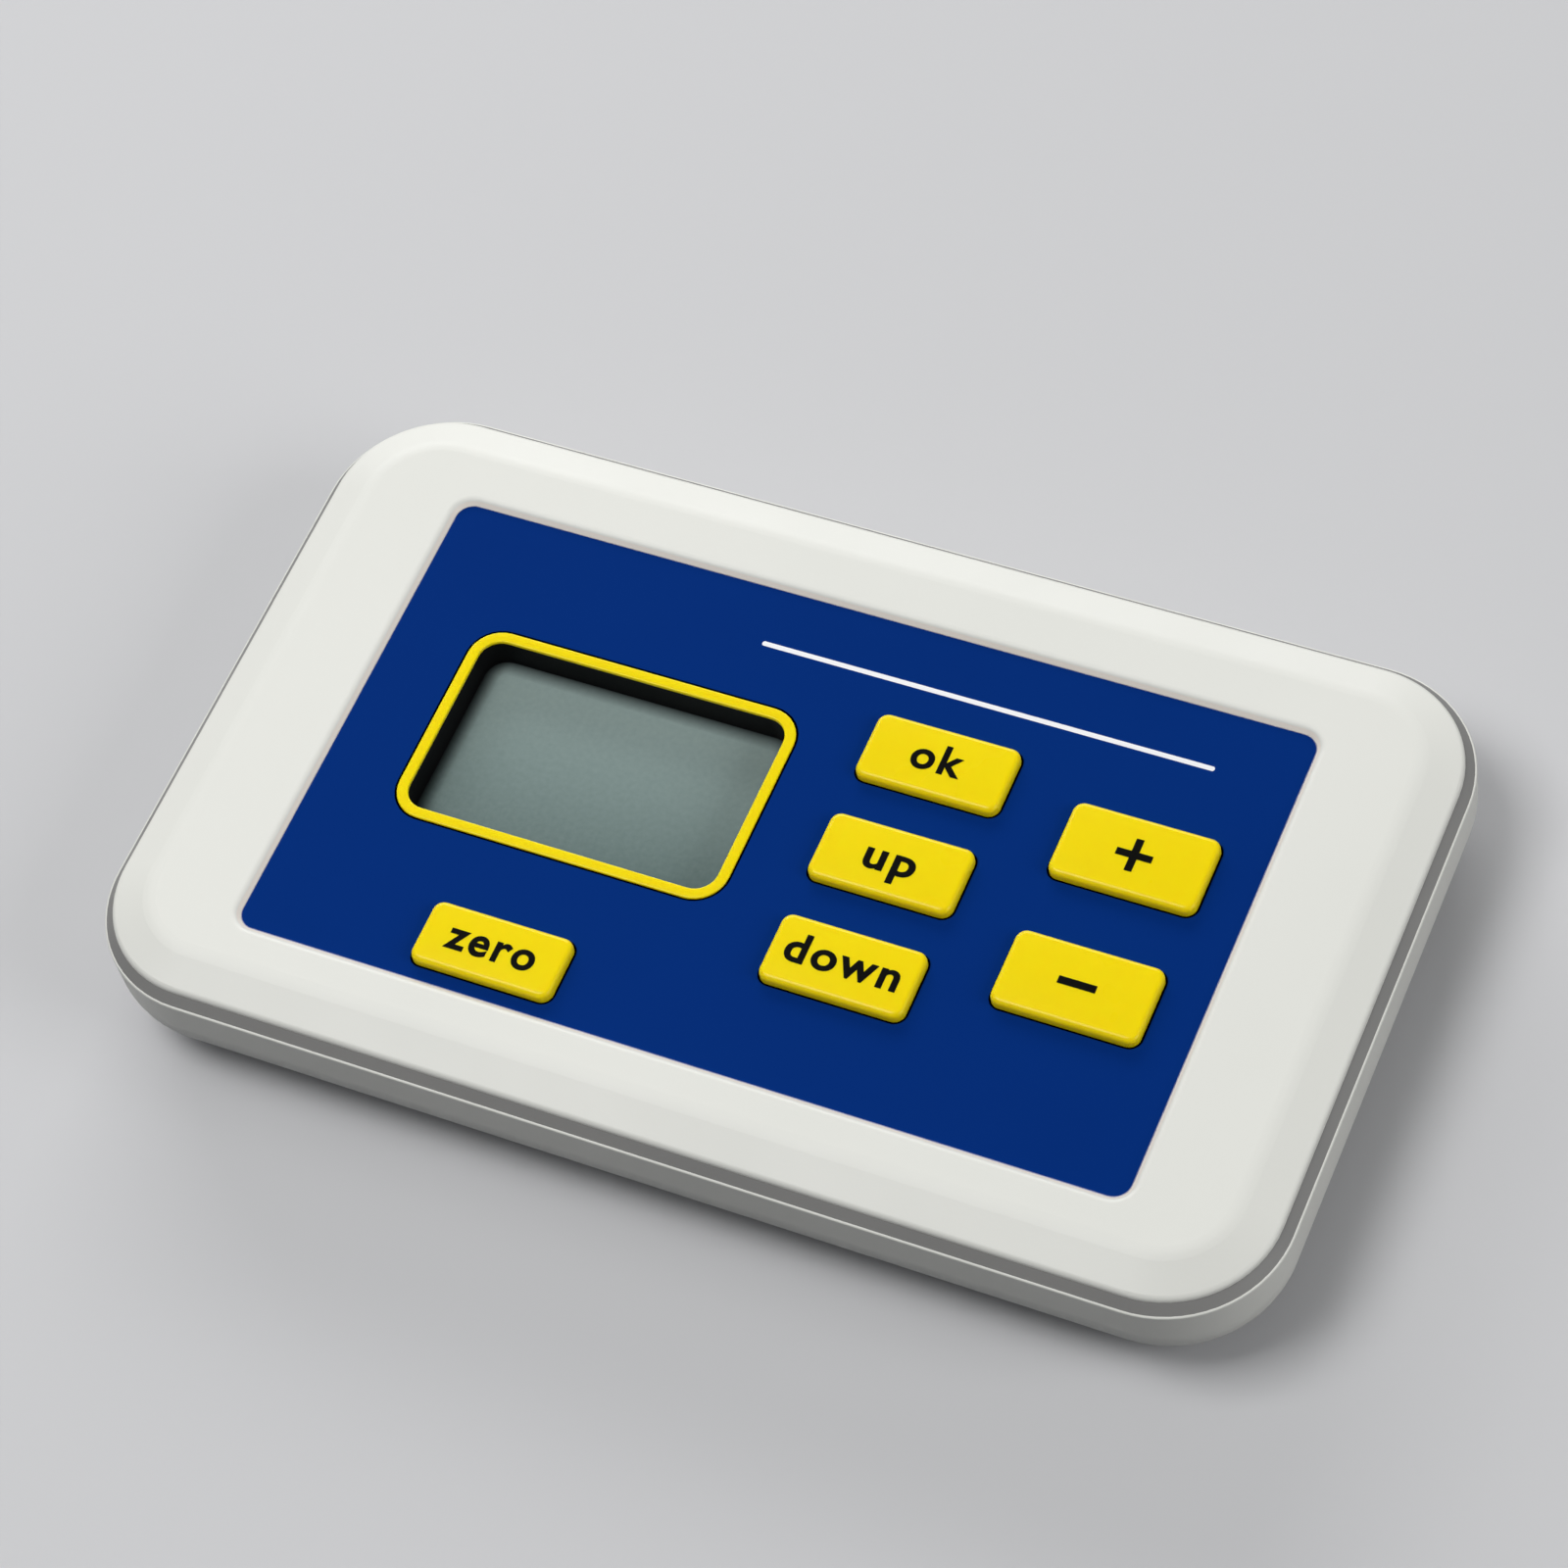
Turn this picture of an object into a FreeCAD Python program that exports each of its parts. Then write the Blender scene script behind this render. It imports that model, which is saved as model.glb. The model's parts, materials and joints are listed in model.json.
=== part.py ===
import FreeCAD, Part
import math
import os
import re
import Sketcher

# Driving dimensions, in millimetres and degrees.
# The floor is z = 0, +X runs along the case, +Y to its back edge and +Z up through the keys.
DIMENSIONS = {
    # Case shells
    "case_length": 151,
    "case_width": 90,
    "case_corner": 15.2,
    "case_wall": 2.2,
    "lower_height": 13.5,
    "roll_radius": 8.6,
    "ledge_radius": 0.25,
    "ring_width": 1.1,
    "ring_height": 1.2,
    "ring_taper": 42.5,
    "lip_height": 0.6,
    "shoulder_radius": 0.75,
    "crown_height": 1.8,
    "crown_taper": 70,
    "crown_radius": 5.0,
    "tongue_height": 2.6,
    "tongue_gap": 0.35,
    "tongue_thickness": 1.6,
    # Feet
    "foot_height": 1.5,
    "foot_radius": 5,
    "foot_seat": 0.4,
    "foot_edge": 0.6,
    "foot_x": 47,
    "foot_y": 29,
    # Front panel
    "panel_length": 114,
    "panel_width": 65,
    "panel_corner": 2.4,
    "panel_y": -1.0,
    "panel_depth": 1.1,
    "panel_rim": 1.0,
    "overlay_thickness": 0.4,
    "overlay_gap": 0.15,
    "fit_gap": 0.1,
    "deck_thickness": 1.4,
    # Display
    "display_x": -24.6,
    "display_y": 2.1,
    "window_length": 41,
    "window_width": 25.1,
    "window_corner": 2.8,
    "bezel_width": 1.4,
    "bezel_rise": 0.2,
    "bezel_lip": 0.5,
    "bezel_edge": 0.15,
    "shroud_wall": 0.5,
    "shroud_flange": 0.9,
    "shroud_depth": 4.0,
    "glass_length": 46,
    "glass_width": 32,
    "glass_ledge": 1.6,
    "glass_thickness": 1.0,
    "backlight_length": 44,
    "backlight_width": 25,
    "strip_width": 1.4,
    "strip_length": 40,
    # Keys
    "key_length": 18.4,
    "key_corner": 1.4,
    "key_edge": 0.5,
    "key_rise": 1.3,
    "key_gap": 0.25,
    "key_flange": 0.8,
    "key_flange_gap": 0.2,
    "key_roof": 1.1,
    "key_wall": 1.2,
    "key_stem": 2.0,
    "middle_column_x": 15.1,
    "right_column_x": 41.9,
    "menu_key_width": 9.3,
    "menu_key_pitch": 14.66,
    "menu_key_y": -0.15,
    "step_key_width": 10.4,
    "step_key_pitch": 18.28,
    "step_key_y": 0.5,
    "zero_key_width": 8.5,
    "zero_key_x": -25.2,
    "zero_key_y": -26.1,
    # Board and what it carries
    "board_length": 114,
    "board_width": 76,
    "board_corner": 2,
    "board_y": 2,
    "board_thickness": 1.6,
    "board_base": 5.5,
    "notch_length": 57,
    "notch_width": 22.8,
    "switch_side": 6,
    "switch_height": 3.5,
    "switch_reach": 7.0,
    "leg_length": 1.0,
    "leg_width": 0.7,
    "leg_thickness": 0.25,
    "leg_spread": 4.0,
    "plunger_radius": 1.7,
    "plunger_gap": 0.3,
    "plunger_length": 5.0,
    # Fasteners
    "screw_x": 61,
    "screw_y": 31,
    "boss_radius": 3.5,
    "boss_split": 9.0,
    "rib_thickness": 1.2,
    "rib_drop": 1.5,
    "screw_radius": 1.15,
    "screw_length": 9.5,
    "screw_head_radius": 2.4,
    "screw_head_height": 1.6,
    "screw_seat": 5.0,
    "screw_gap": 0.25,
    "drive_width": 0.55,
    "drive_length": 2.6,
    "drive_depth": 0.8,
    "board_screw_x": 52,
    "board_screw_span": 45,
    "board_screw_y": -8.5,
    "board_screw_radius": 0.85,
    "board_screw_length": 4.5,
    "board_head_radius": 1.9,
    "board_head_height": 1.3,
    "standoff_radius": 2.6,
    # Sockets on the back wall
    "probe_x": -48,
    "probe_bore": 1.8,
    "probe_depth": 14,
    "probe_snout": 2.6,
    "probe_body_length": 13,
    "probe_body_width": 7,
    "probe_body_height": 6,
    "wall_gap": 0.4,
    "power_x": 48,
    "power_length": 12,
    "power_depth": 5.5,
    "power_height": 4.8,
    "slider_length": 3.0,
    "slider_height": 2.0,
    "slider_travel": 2.5,
    "slider_gap": 0.3,
    "thumb_length": 11,
    "thumb_height": 4.2,
    "thumb_depth": 1.0,
    # Battery bay
    "cell_radius": 5.25,
    "cell_length": 44.5,
    "cell_nub_radius": 1.9,
    "cell_nub_length": 1.2,
    "cell_front_y": 24.9,
    "cell_pitch": 10.6,
    "cell_height": 9.05,
    "bay_length": 50.8,
    "bay_front": 19.2,
    "bay_wall": 1.8,
    "bay_wall_height": 8.0,
    "door_skin": 0.9,
    "door_rail": 1.0,
    "door_rail_width": 1.5,
    "door_gap": 0.15,
    "contact_thickness": 0.4,
    "contact_width": 8,
    "contact_height": 7.5,
    "leaf_thickness": 0.64,
    "grip_length": 18,
    "grip_width": 1.0,
    "grip_corner": 0.48,
    "grip_pitch": 2.2,
    "grip_depth": 0.4,
    # Parts on the board
    "processor_x": 28.5,
    "processor_y": -26,
    "processor_length": 10,
    "processor_width": 10,
    "processor_height": 1.4,
    "processor_corner": 0.3,
    "converter_x": -36,
    "converter_y": 28,
    "converter_length": 7.5,
    "converter_width": 5.3,
    "converter_height": 1.8,
    "converter_corner": 0.2,
    "amplifier_x": -36,
    "amplifier_y": 36,
    "amplifier_length": 4.9,
    "amplifier_width": 3.9,
    "amplifier_height": 1.5,
    "amplifier_corner": 0.2,
    "crystal_x": 46,
    "crystal_y": -27,
    "crystal_length": 11,
    "crystal_width": 4.6,
    "crystal_height": 3.5,
    "crystal_corner": 2.2,
}

# How close two lengths are when they count as the same
SAME_HEIGHT = 0.0001
SAME_REACH = 0.01

document = FreeCAD.newDocument("PowerMeter")
sheet = document.addObject("Spreadsheet::Sheet", "Dimensions")
for row, (alias, value) in enumerate(DIMENSIONS.items(), start=1):
    sheet.set(f"A{row}", alias)
    sheet.set(f"B{row}", str(value))
    sheet.setAlias(f"B{row}", alias)
document.recompute()

# Heights that several pieces share, as expressions on the sheet
FLOOR_TOP = "(foot_height + case_wall)"
LOWER_TOP = "(foot_height + lower_height)"
RIM_BASE = f"({LOWER_TOP} + ring_height)"
CROWN_BASE = f"({RIM_BASE} + lip_height)"
CASE_TOP = f"({CROWN_BASE} + crown_height)"
DECK_TOP = f"({CASE_TOP} - panel_depth)"
CEILING = f"({DECK_TOP} - deck_thickness)"
OVERLAY_TOP = f"({DECK_TOP} + overlay_thickness)"
BOARD_TOP = "(foot_height + board_base + board_thickness)"
GLASS_TOP = f"({DECK_TOP} - shroud_depth)"
DISPLAY_Y = "(panel_y + display_y)"
FLANGE_TOP = f"({CEILING} - key_flange_gap)"
SOCKET_HEIGHT = f"({BOARD_TOP} + probe_body_height / 2)"
BACK_FACE = "(case_width / 2)"
BACK_INNER = "(case_width / 2 - case_wall)"
RIM_LENGTH = "(case_length - 2 * ledge_radius - 2 * ring_width)"
RIM_WIDTH = "(case_width - 2 * ledge_radius - 2 * ring_width)"
RIM_CORNER = "(case_corner - ledge_radius - ring_width)"

# Key names, with each key's centre and width
KEYS = {
    "ok": ("middle_column_x", "panel_y + menu_key_y + menu_key_pitch", "menu_key_width"),
    "up": ("middle_column_x", "panel_y + menu_key_y", "menu_key_width"),
    "down": ("middle_column_x", "panel_y + menu_key_y - menu_key_pitch", "menu_key_width"),
    "plus": ("right_column_x", "panel_y + step_key_y + step_key_pitch / 2", "step_key_width"),
    "minus": ("right_column_x", "panel_y + step_key_y - step_key_pitch / 2", "step_key_width"),
    "zero": ("zero_key_x", "panel_y + zero_key_y", "zero_key_width"),
}


def bound(words):
    """Point each dimension named in an expression at its cell."""
    def cell(match):
        word = match.group()
        return f"Dimensions.{word}" if word in DIMENSIONS else word
    return re.sub(r"[a-z_]+", cell, str(words))


def number(words):
    return float(sheet.evalExpression(bound(words)))


def place_at(item, place, path="Placement.Base"):
    for axis, words in zip("xyz", place):
        item.setExpression(f"{path}.{axis}", bound(words))


def add_body(label, place=(0, 0, 0)):
    body = document.addObject("PartDesign::Body", label)
    body.Label = label
    place_at(body, place)
    return body


def add_sketch(body, place=(0, 0, 0), plane="XY_Plane"):
    sketch = body.newObject("Sketcher::SketchObject", "Sketch")
    support = next(feature for feature in body.Origin.OriginFeatures if feature.Role == plane)
    sketch.AttachmentSupport = [(support, "")]
    sketch.MapMode = "FlatFace"
    place_at(sketch, place, "AttachmentOffset.Base")
    return sketch


def dimension(sketch, kind, *references, words):
    index = sketch.addConstraint(Sketcher.Constraint(kind, *references, number(words)))
    sketch.setExpression(f"Constraints[{index}]", bound(words))


def draw_rectangle(sketch, length, width):
    """Draw a sharp rectangle centred on the sketch's origin."""
    half_length = number(length) / 2
    half_width = number(width) / 2
    corners = [(-1, -1), (1, -1), (1, 1), (-1, 1)]
    points = [FreeCAD.Vector(x * half_length, y * half_width, 0) for x, y in corners]
    lines = [Part.LineSegment(points[i], points[(i + 1) % 4]) for i in range(4)]
    first = sketch.addGeometry(lines, False)[0]
    for i in range(4):
        sketch.addConstraint(Sketcher.Constraint("Coincident", first + i, 2, first + (i + 1) % 4, 1))
        sketch.addConstraint(Sketcher.Constraint("Vertical" if i % 2 else "Horizontal", first + i))
    sketch.addConstraint(Sketcher.Constraint("Symmetric", first, 1, first + 2, 1, -1, 1))
    dimension(sketch, "DistanceX", first, 1, first, 2, words=length)
    dimension(sketch, "DistanceY", first + 1, 1, first + 1, 2, words=width)


def draw_rounded_rectangle(sketch, length, width, corner):
    """Draw a rectangle with round corners, centred on the sketch's origin."""
    radius = number(corner)
    run = number(length) / 2 - radius
    rise = number(width) / 2 - radius
    quarter = math.pi / 2
    centres = [(run, -rise), (run, rise), (-run, rise), (-run, -rise)]
    arcs = []
    for i, (x, y) in enumerate(centres):
        circle = Part.Circle(FreeCAD.Vector(x, y, 0), FreeCAD.Vector(0, 0, 1), radius)
        arcs.append(Part.ArcOfCircle(circle, (i - 1) * quarter, i * quarter))
    lines = [Part.LineSegment(arcs[i - 1].EndPoint, arcs[i].StartPoint) for i in range(4)]
    sketch.addGeometry(lines + arcs, False)
    for i in range(4):
        sketch.addConstraint(Sketcher.Constraint("Tangent", i, 2, 4 + i, 1))
        sketch.addConstraint(Sketcher.Constraint("Tangent", 4 + i, 2, (i + 1) % 4, 1))
        sketch.addConstraint(Sketcher.Constraint("Vertical" if i % 2 else "Horizontal", i))
        if i:
            sketch.addConstraint(Sketcher.Constraint("Equal", 4, 4 + i))
    sketch.addConstraint(Sketcher.Constraint("Symmetric", 4, 3, 6, 3, -1, 1))
    dimension(sketch, "DistanceX", 3, 1, 1, 1, words=length)
    dimension(sketch, "DistanceY", 0, 1, 2, 1, words=width)
    dimension(sketch, "Radius", 4, words=corner)


def draw_circle(sketch, radius):
    circle = Part.Circle(FreeCAD.Vector(0, 0, 0), FreeCAD.Vector(0, 0, 1), number(radius))
    sketch.addGeometry(circle, False)
    sketch.addConstraint(Sketcher.Constraint("Coincident", 0, 3, -1, 1))
    dimension(sketch, "Radius", 0, words=radius)


def draw_four_circles(sketch, x, y, radius):
    """Draw equal circles at the four corners of a rectangle about the sketch's origin."""
    signs = [(1, 1), (-1, 1), (-1, -1), (1, -1)]
    for sign_x, sign_y in signs:
        centre = FreeCAD.Vector(sign_x * number(x), sign_y * number(y), 0)
        sketch.addGeometry(Part.Circle(centre, FreeCAD.Vector(0, 0, 1), number(radius)), False)
    for i in (1, 2, 3):
        sketch.addConstraint(Sketcher.Constraint("Equal", 0, i))
    sketch.addConstraint(Sketcher.Constraint("Symmetric", 0, 3, 1, 3, -2))
    sketch.addConstraint(Sketcher.Constraint("Symmetric", 0, 3, 2, 3, -1, 1))
    sketch.addConstraint(Sketcher.Constraint("Symmetric", 0, 3, 3, 3, -1))
    dimension(sketch, "DistanceX", -1, 1, 0, 3, words=x)
    dimension(sketch, "DistanceY", -1, 1, 0, 3, words=y)
    dimension(sketch, "Radius", 0, words=radius)


def pad(body, sketch, depth, taper=None, reverse=False):
    feature = body.newObject("PartDesign::Pad", "Pad")
    feature.Profile = sketch
    feature.Reversed = reverse
    feature.setExpression("Length", bound(depth))
    if taper:
        feature.setExpression("TaperAngle", bound(taper))
    return feature


def pocket(body, sketch, depth, reverse=False):
    feature = body.newObject("PartDesign::Pocket", "Pocket")
    feature.Profile = sketch
    feature.Reversed = reverse
    feature.setExpression("Length", bound(depth))
    return feature


def raise_block(body, place, length, width, corner, depth, taper=None):
    sketch = add_sketch(body, place)
    draw_rounded_rectangle(sketch, length, width, corner)
    return pad(body, sketch, depth, taper)


def cut_block(body, place, length, width, corner, depth):
    """Cut a rounded block upward from the sketch's height."""
    sketch = add_sketch(body, place)
    draw_rounded_rectangle(sketch, length, width, corner)
    return pocket(body, sketch, depth, reverse=True)


def raise_box(body, place, length, width, depth):
    sketch = add_sketch(body, place)
    draw_rectangle(sketch, length, width)
    return pad(body, sketch, depth)


def cut_box(body, place, length, width, depth):
    sketch = add_sketch(body, place)
    draw_rectangle(sketch, length, width)
    return pocket(body, sketch, depth, reverse=True)


def raise_post(body, place, radius, depth):
    sketch = add_sketch(body, place)
    draw_circle(sketch, radius)
    return pad(body, sketch, depth)


def cut_hole(body, place, radius, depth):
    sketch = add_sketch(body, place)
    draw_circle(sketch, radius)
    return pocket(body, sketch, depth, reverse=True)


def flat_at(edge, height):
    box = edge.BoundBox
    return abs(box.ZMin - height) < SAME_HEIGHT and abs(box.ZMax - height) < SAME_HEIGHT


def pick_edges(body, wanted):
    """Name the edges of the body's last feature that the test picks."""
    document.recompute()
    base = body.Tip
    names = [f"Edge{i}" for i, edge in enumerate(base.Shape.Edges, start=1) if wanted(edge)]
    return base, names


def round_edges(body, radius, wanted):
    picked = pick_edges(body, wanted)
    fillet = body.newObject("PartDesign::Fillet", "Fillet")
    fillet.Base = picked
    fillet.setExpression("Radius", bound(radius))
    return fillet


def bevel_edges(body, size, wanted):
    picked = pick_edges(body, wanted)
    chamfer = body.newObject("PartDesign::Chamfer", "Chamfer")
    chamfer.Base = picked
    chamfer.setExpression("Size", bound(size))
    return chamfer


def subtract(body, tool):
    feature = body.newObject("PartDesign::Boolean", "Boolean")
    feature.Type = "Cut"
    feature.setObjects([tool])
    return feature


def draw_outline(sketch, points):
    """Draw a closed polygon through points given as expressions, none of them negative."""
    places = [FreeCAD.Vector(number(x), number(y), 0) for x, y in points]
    count = len(points)
    lines = [Part.LineSegment(places[i], places[(i + 1) % count]) for i in range(count)]
    sketch.addGeometry(lines, False)
    for i, (x, y) in enumerate(points):
        sketch.addConstraint(Sketcher.Constraint("Coincident", i, 2, (i + 1) % count, 1))
        for words, kind, axis in ((x, "DistanceX", -2), (y, "DistanceY", -1)):
            if words == 0:
                sketch.addConstraint(Sketcher.Constraint("PointOnObject", i, 1, axis))
            else:
                dimension(sketch, kind, -1, 1, i, 1, words=words)


def turn_profile(body, points):
    """Turn a profile, given as radius and height, about the body's own Z axis."""
    sketch = add_sketch(body, plane="XZ_Plane")
    draw_outline(sketch, points)
    feature = body.newObject("PartDesign::Revolution", "Revolution")
    feature.Profile = sketch
    feature.ReferenceAxis = (sketch, ["V_Axis"])
    feature.Angle = 360
    return feature


def cut_back_wall(body, x, height, depth, draw, *sizes):
    """Cut into the back wall from outside, with a sketch that faces along Y."""
    sketch = add_sketch(body, (x, height, f"-{BACK_FACE}"), "XZ_Plane")
    draw(sketch, *sizes)
    return pocket(body, sketch, depth, reverse=True)


def four_of(item, label, middle_y=0):
    """Repeat a piece at the four corners of a rectangle as one group."""
    across = document.addObject("Part::Mirroring", "AcrossX")
    across.Source = item
    across.Normal = FreeCAD.Vector(1, 0, 0)
    pair = document.addObject("Part::Compound", "Pair")
    pair.Links = [item, across]
    along = document.addObject("Part::Mirroring", "AcrossY")
    along.Source = pair
    along.Normal = FreeCAD.Vector(0, 1, 0)
    along.setExpression("Base.y", bound(middle_y))
    group = document.addObject("Part::Compound", label)
    group.Label = label
    group.Links = [pair, along]
    return group


def raise_shell_form(body, inset=0):
    """Raise the lower shell's form: a rounded tray whose wall rolls under to the base."""
    raise_block(body, (0, 0, f"foot_height + {inset}"), f"case_length - 2 * {inset}",
                f"case_width - 2 * {inset}", f"case_corner - {inset}", f"lower_height - {inset}")
    base = number(f"foot_height + {inset}")
    round_edges(body, f"roll_radius - {inset}", lambda edge: flat_at(edge, base))


# Lower shell with its bosses, board posts and battery bay
DOOR_REACH = f"({BACK_FACE} - bay_front + bay_wall)"
DOOR_MIDDLE = f"(bay_front + {DOOR_REACH} / 2)"
BAY_DEPTH = f"({BACK_INNER} - bay_front - bay_wall)"
SLOT_LENGTH = "slider_length + slider_travel + 2 * slider_gap"
SLOT_HEIGHT = "slider_height + 2 * slider_gap"
POWER_HEIGHT = f"({BOARD_TOP} + power_height / 2)"


def make_lower_case():
    body = add_body("lower_case")
    raise_shell_form(body)
    hollow = add_body("LowerHollow")
    raise_shell_form(hollow, "case_wall")
    leave_gussets(hollow)
    subtract(body, hollow)
    lower_top = number(LOWER_TOP)
    half_length = number("case_length / 2")
    half_width = number("case_width / 2")

    def is_outer_rim(edge):
        box = edge.BoundBox
        reach_x = max(box.XMax, -box.XMin)
        reach_y = max(box.YMax, -box.YMin)
        outermost = half_length - reach_x < SAME_REACH or half_width - reach_y < SAME_REACH
        return flat_at(edge, lower_top) and outermost

    round_edges(body, "ledge_radius", is_outer_rim)
    add_screw_bosses(body)
    add_board_posts(body)
    add_battery_bay(body)
    cut_back_wall(body, "probe_x", SOCKET_HEIGHT, "2 * case_wall",
                  draw_circle, "probe_snout + slider_gap")
    cut_back_wall(body, "power_x", POWER_HEIGHT, "thumb_depth", draw_rounded_rectangle,
                  "thumb_length", "thumb_height", "thumb_depth")
    cut_back_wall(body, "power_x", POWER_HEIGHT, "2 * case_wall",
                  draw_rectangle, SLOT_LENGTH, SLOT_HEIGHT)
    return body


def gussets(base, height, half_length, half_width):
    """List the ribs that run from each screw boss to the two walls beside it: place, size and height."""
    reach_x = f"({half_length} - screw_x)"
    reach_y = f"({half_width} - screw_y)"
    ribs = []
    for side_x, side_y in ((1, 1), (-1, 1), (-1, -1), (1, -1)):
        to_end = (f"{side_x} * (screw_x + {reach_x} / 2)", f"{side_y} * screw_y", base)
        to_side = (f"{side_x} * screw_x", f"{side_y} * (screw_y + {reach_y} / 2)", base)
        ribs.append((to_end, reach_x, "rib_thickness", height))
        ribs.append((to_side, "rib_thickness", reach_y, height))
    return ribs


def leave_gussets(hollow):
    """Slot the hollow, so that ribs are left standing where the slots are."""
    height = f"boss_split - rib_drop - {FLOOR_TOP}"
    for rib in gussets(FLOOR_TOP, height, "case_length / 2", "case_width / 2"):
        cut_box(hollow, *rib)


def add_screw_bosses(body):
    bosses = add_sketch(body, (0, 0, FLOOR_TOP))
    draw_four_circles(bosses, "screw_x", "screw_y", "boss_radius")
    pad(body, bosses, f"boss_split - {FLOOR_TOP}")
    sinks = add_sketch(body, (0, 0, "foot_height"))
    draw_four_circles(sinks, "screw_x", "screw_y", "screw_head_radius + 2 * screw_gap")
    pocket(body, sinks, "screw_seat - foot_height", reverse=True)
    holes = add_sketch(body, (0, 0, "foot_height"))
    draw_four_circles(holes, "screw_x", "screw_y", "screw_radius + screw_gap")
    pocket(body, holes, "boss_split", reverse=True)
    seats = add_sketch(body, (0, 0, "foot_height"))
    draw_four_circles(seats, "foot_x", "foot_y", "foot_radius + fit_gap")
    pocket(body, seats, "foot_seat", reverse=True)


def add_board_posts(body):
    posts = add_sketch(body, (0, "board_screw_y", FLOOR_TOP))
    draw_four_circles(posts, "board_screw_x", "board_screw_span / 2", "standoff_radius")
    pad(body, posts, "board_base - case_wall")
    holes = add_sketch(body, (0, "board_screw_y", "foot_height + board_base"))
    draw_four_circles(holes, "board_screw_x", "board_screw_span / 2", "board_screw_radius + fit_gap / 2")
    pocket(body, holes, "board_screw_length - board_thickness + fit_gap")


def add_battery_bay(body):
    """Cut the door's opening and rail grooves, and raise the walls that hold the cells."""
    for side in (-1, 1):
        wall_x = f"{side} * (bay_length + bay_wall) / 2"
        wall_y = f"bay_front + {BAY_DEPTH} / 2"
        raise_box(body, (wall_x, wall_y, FLOOR_TOP), "bay_wall", BAY_DEPTH, "bay_wall_height")
    raise_box(body, (0, "bay_front - bay_wall / 2", FLOOR_TOP),
              "bay_length + 2 * bay_wall", "bay_wall", "bay_wall_height")
    cut_box(body, (0, DOOR_MIDDLE, "foot_height"), "bay_length", DOOR_REACH, "case_wall")
    cut_box(body, (0, DOOR_MIDDLE, "foot_height + door_skin"),
            "bay_length + 2 * door_rail_width", DOOR_REACH, "case_wall - door_skin")


# Upper shell: domed crown, sunk panel deck, tongue that enters the lower shell
TONGUE_LENGTH = "(case_length - 2 * case_wall - 2 * tongue_gap)"
TONGUE_WIDTH = "(case_width - 2 * case_wall - 2 * tongue_gap)"
TONGUE_CORNER = "(case_corner - case_wall - tongue_gap)"
TONGUE_BASE = f"({RIM_BASE} - tongue_height)"
TONGUE_CLEAR = f"({CEILING} - {TONGUE_BASE})"
BEZEL_LENGTH = "(window_length + 2 * bezel_width)"
BEZEL_WIDTH = "(window_width + 2 * bezel_width)"
BEZEL_CORNER = "(window_corner + bezel_width)"


def make_upper_case():
    body = add_body("upper_case")
    raise_block(body, (0, 0, RIM_BASE), RIM_LENGTH, RIM_WIDTH, RIM_CORNER, "lip_height")
    raise_block(body, (0, 0, CROWN_BASE), RIM_LENGTH, RIM_WIDTH, RIM_CORNER, "crown_height", "-crown_taper")
    case_top = number(CASE_TOP)
    crown_base = number(CROWN_BASE)
    round_edges(body, "crown_radius", lambda edge: flat_at(edge, case_top))
    round_edges(body, "shoulder_radius", lambda edge: flat_at(edge, crown_base))
    raise_block(body, (0, 0, TONGUE_BASE), TONGUE_LENGTH, TONGUE_WIDTH, TONGUE_CORNER, "tongue_height")
    cut_block(body, (0, 0, TONGUE_BASE), f"{TONGUE_LENGTH} - 2 * tongue_thickness",
              f"{TONGUE_WIDTH} - 2 * tongue_thickness", f"{TONGUE_CORNER} - tongue_thickness",
              TONGUE_CLEAR)
    cut_block(body, (0, "panel_y", DECK_TOP), "panel_length", "panel_width", "panel_corner", "panel_depth")
    half_panel = number("panel_length / 2")

    def is_panel_rim(edge):
        box = edge.BoundBox
        return flat_at(edge, case_top) and max(box.XMax, -box.XMin) < half_panel + SAME_REACH

    round_edges(body, "panel_rim", is_panel_rim)
    cut_display_hole(body, CEILING, "deck_thickness")
    cut_key_holes(body, CEILING, "deck_thickness")
    bosses = add_sketch(body, (0, 0, "boss_split + fit_gap"))
    draw_four_circles(bosses, "screw_x", "screw_y", "boss_radius - 2 * screw_gap")
    pad(body, bosses, f"{CEILING} - boss_split")
    for rib in gussets(TONGUE_BASE, TONGUE_CLEAR, f"({TONGUE_LENGTH} - tongue_thickness) / 2",
                       f"({TONGUE_WIDTH} - tongue_thickness) / 2"):
        raise_box(body, *rib)
    pilots = add_sketch(body, (0, 0, "boss_split"))
    draw_four_circles(pilots, "screw_x", "screw_y", "screw_radius + fit_gap / 2")
    pocket(body, pilots, "screw_seat + screw_length + screw_gap - boss_split", reverse=True)
    cut_box(body, ("probe_x", BACK_INNER, TONGUE_BASE), "probe_body_width + 2 * wall_gap",
            "4 * tongue_thickness", TONGUE_CLEAR)
    return body


def cut_display_hole(body, height, depth):
    cut_block(body, ("display_x", DISPLAY_Y, height), f"{BEZEL_LENGTH} + 2 * key_gap",
              f"{BEZEL_WIDTH} + 2 * key_gap", f"{BEZEL_CORNER} + key_gap", depth)


def cut_key_holes(body, height, depth):
    for x, y, width in KEYS.values():
        cut_block(body, (x, y, height), "key_length + 2 * key_gap", f"{width} + 2 * key_gap",
                  "key_corner + key_gap", depth)


def make_seam_ring():
    body = add_body("seam_ring")
    raise_block(body, (0, 0, LOWER_TOP), "case_length - 2 * ledge_radius", "case_width - 2 * ledge_radius",
                "case_corner - ledge_radius", "ring_height", "-ring_taper")
    cut_block(body, (0, 0, LOWER_TOP), f"{TONGUE_LENGTH} + 2 * fit_gap",
              f"{TONGUE_WIDTH} + 2 * fit_gap", f"{TONGUE_CORNER} + fit_gap", "ring_height")
    return body


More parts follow.
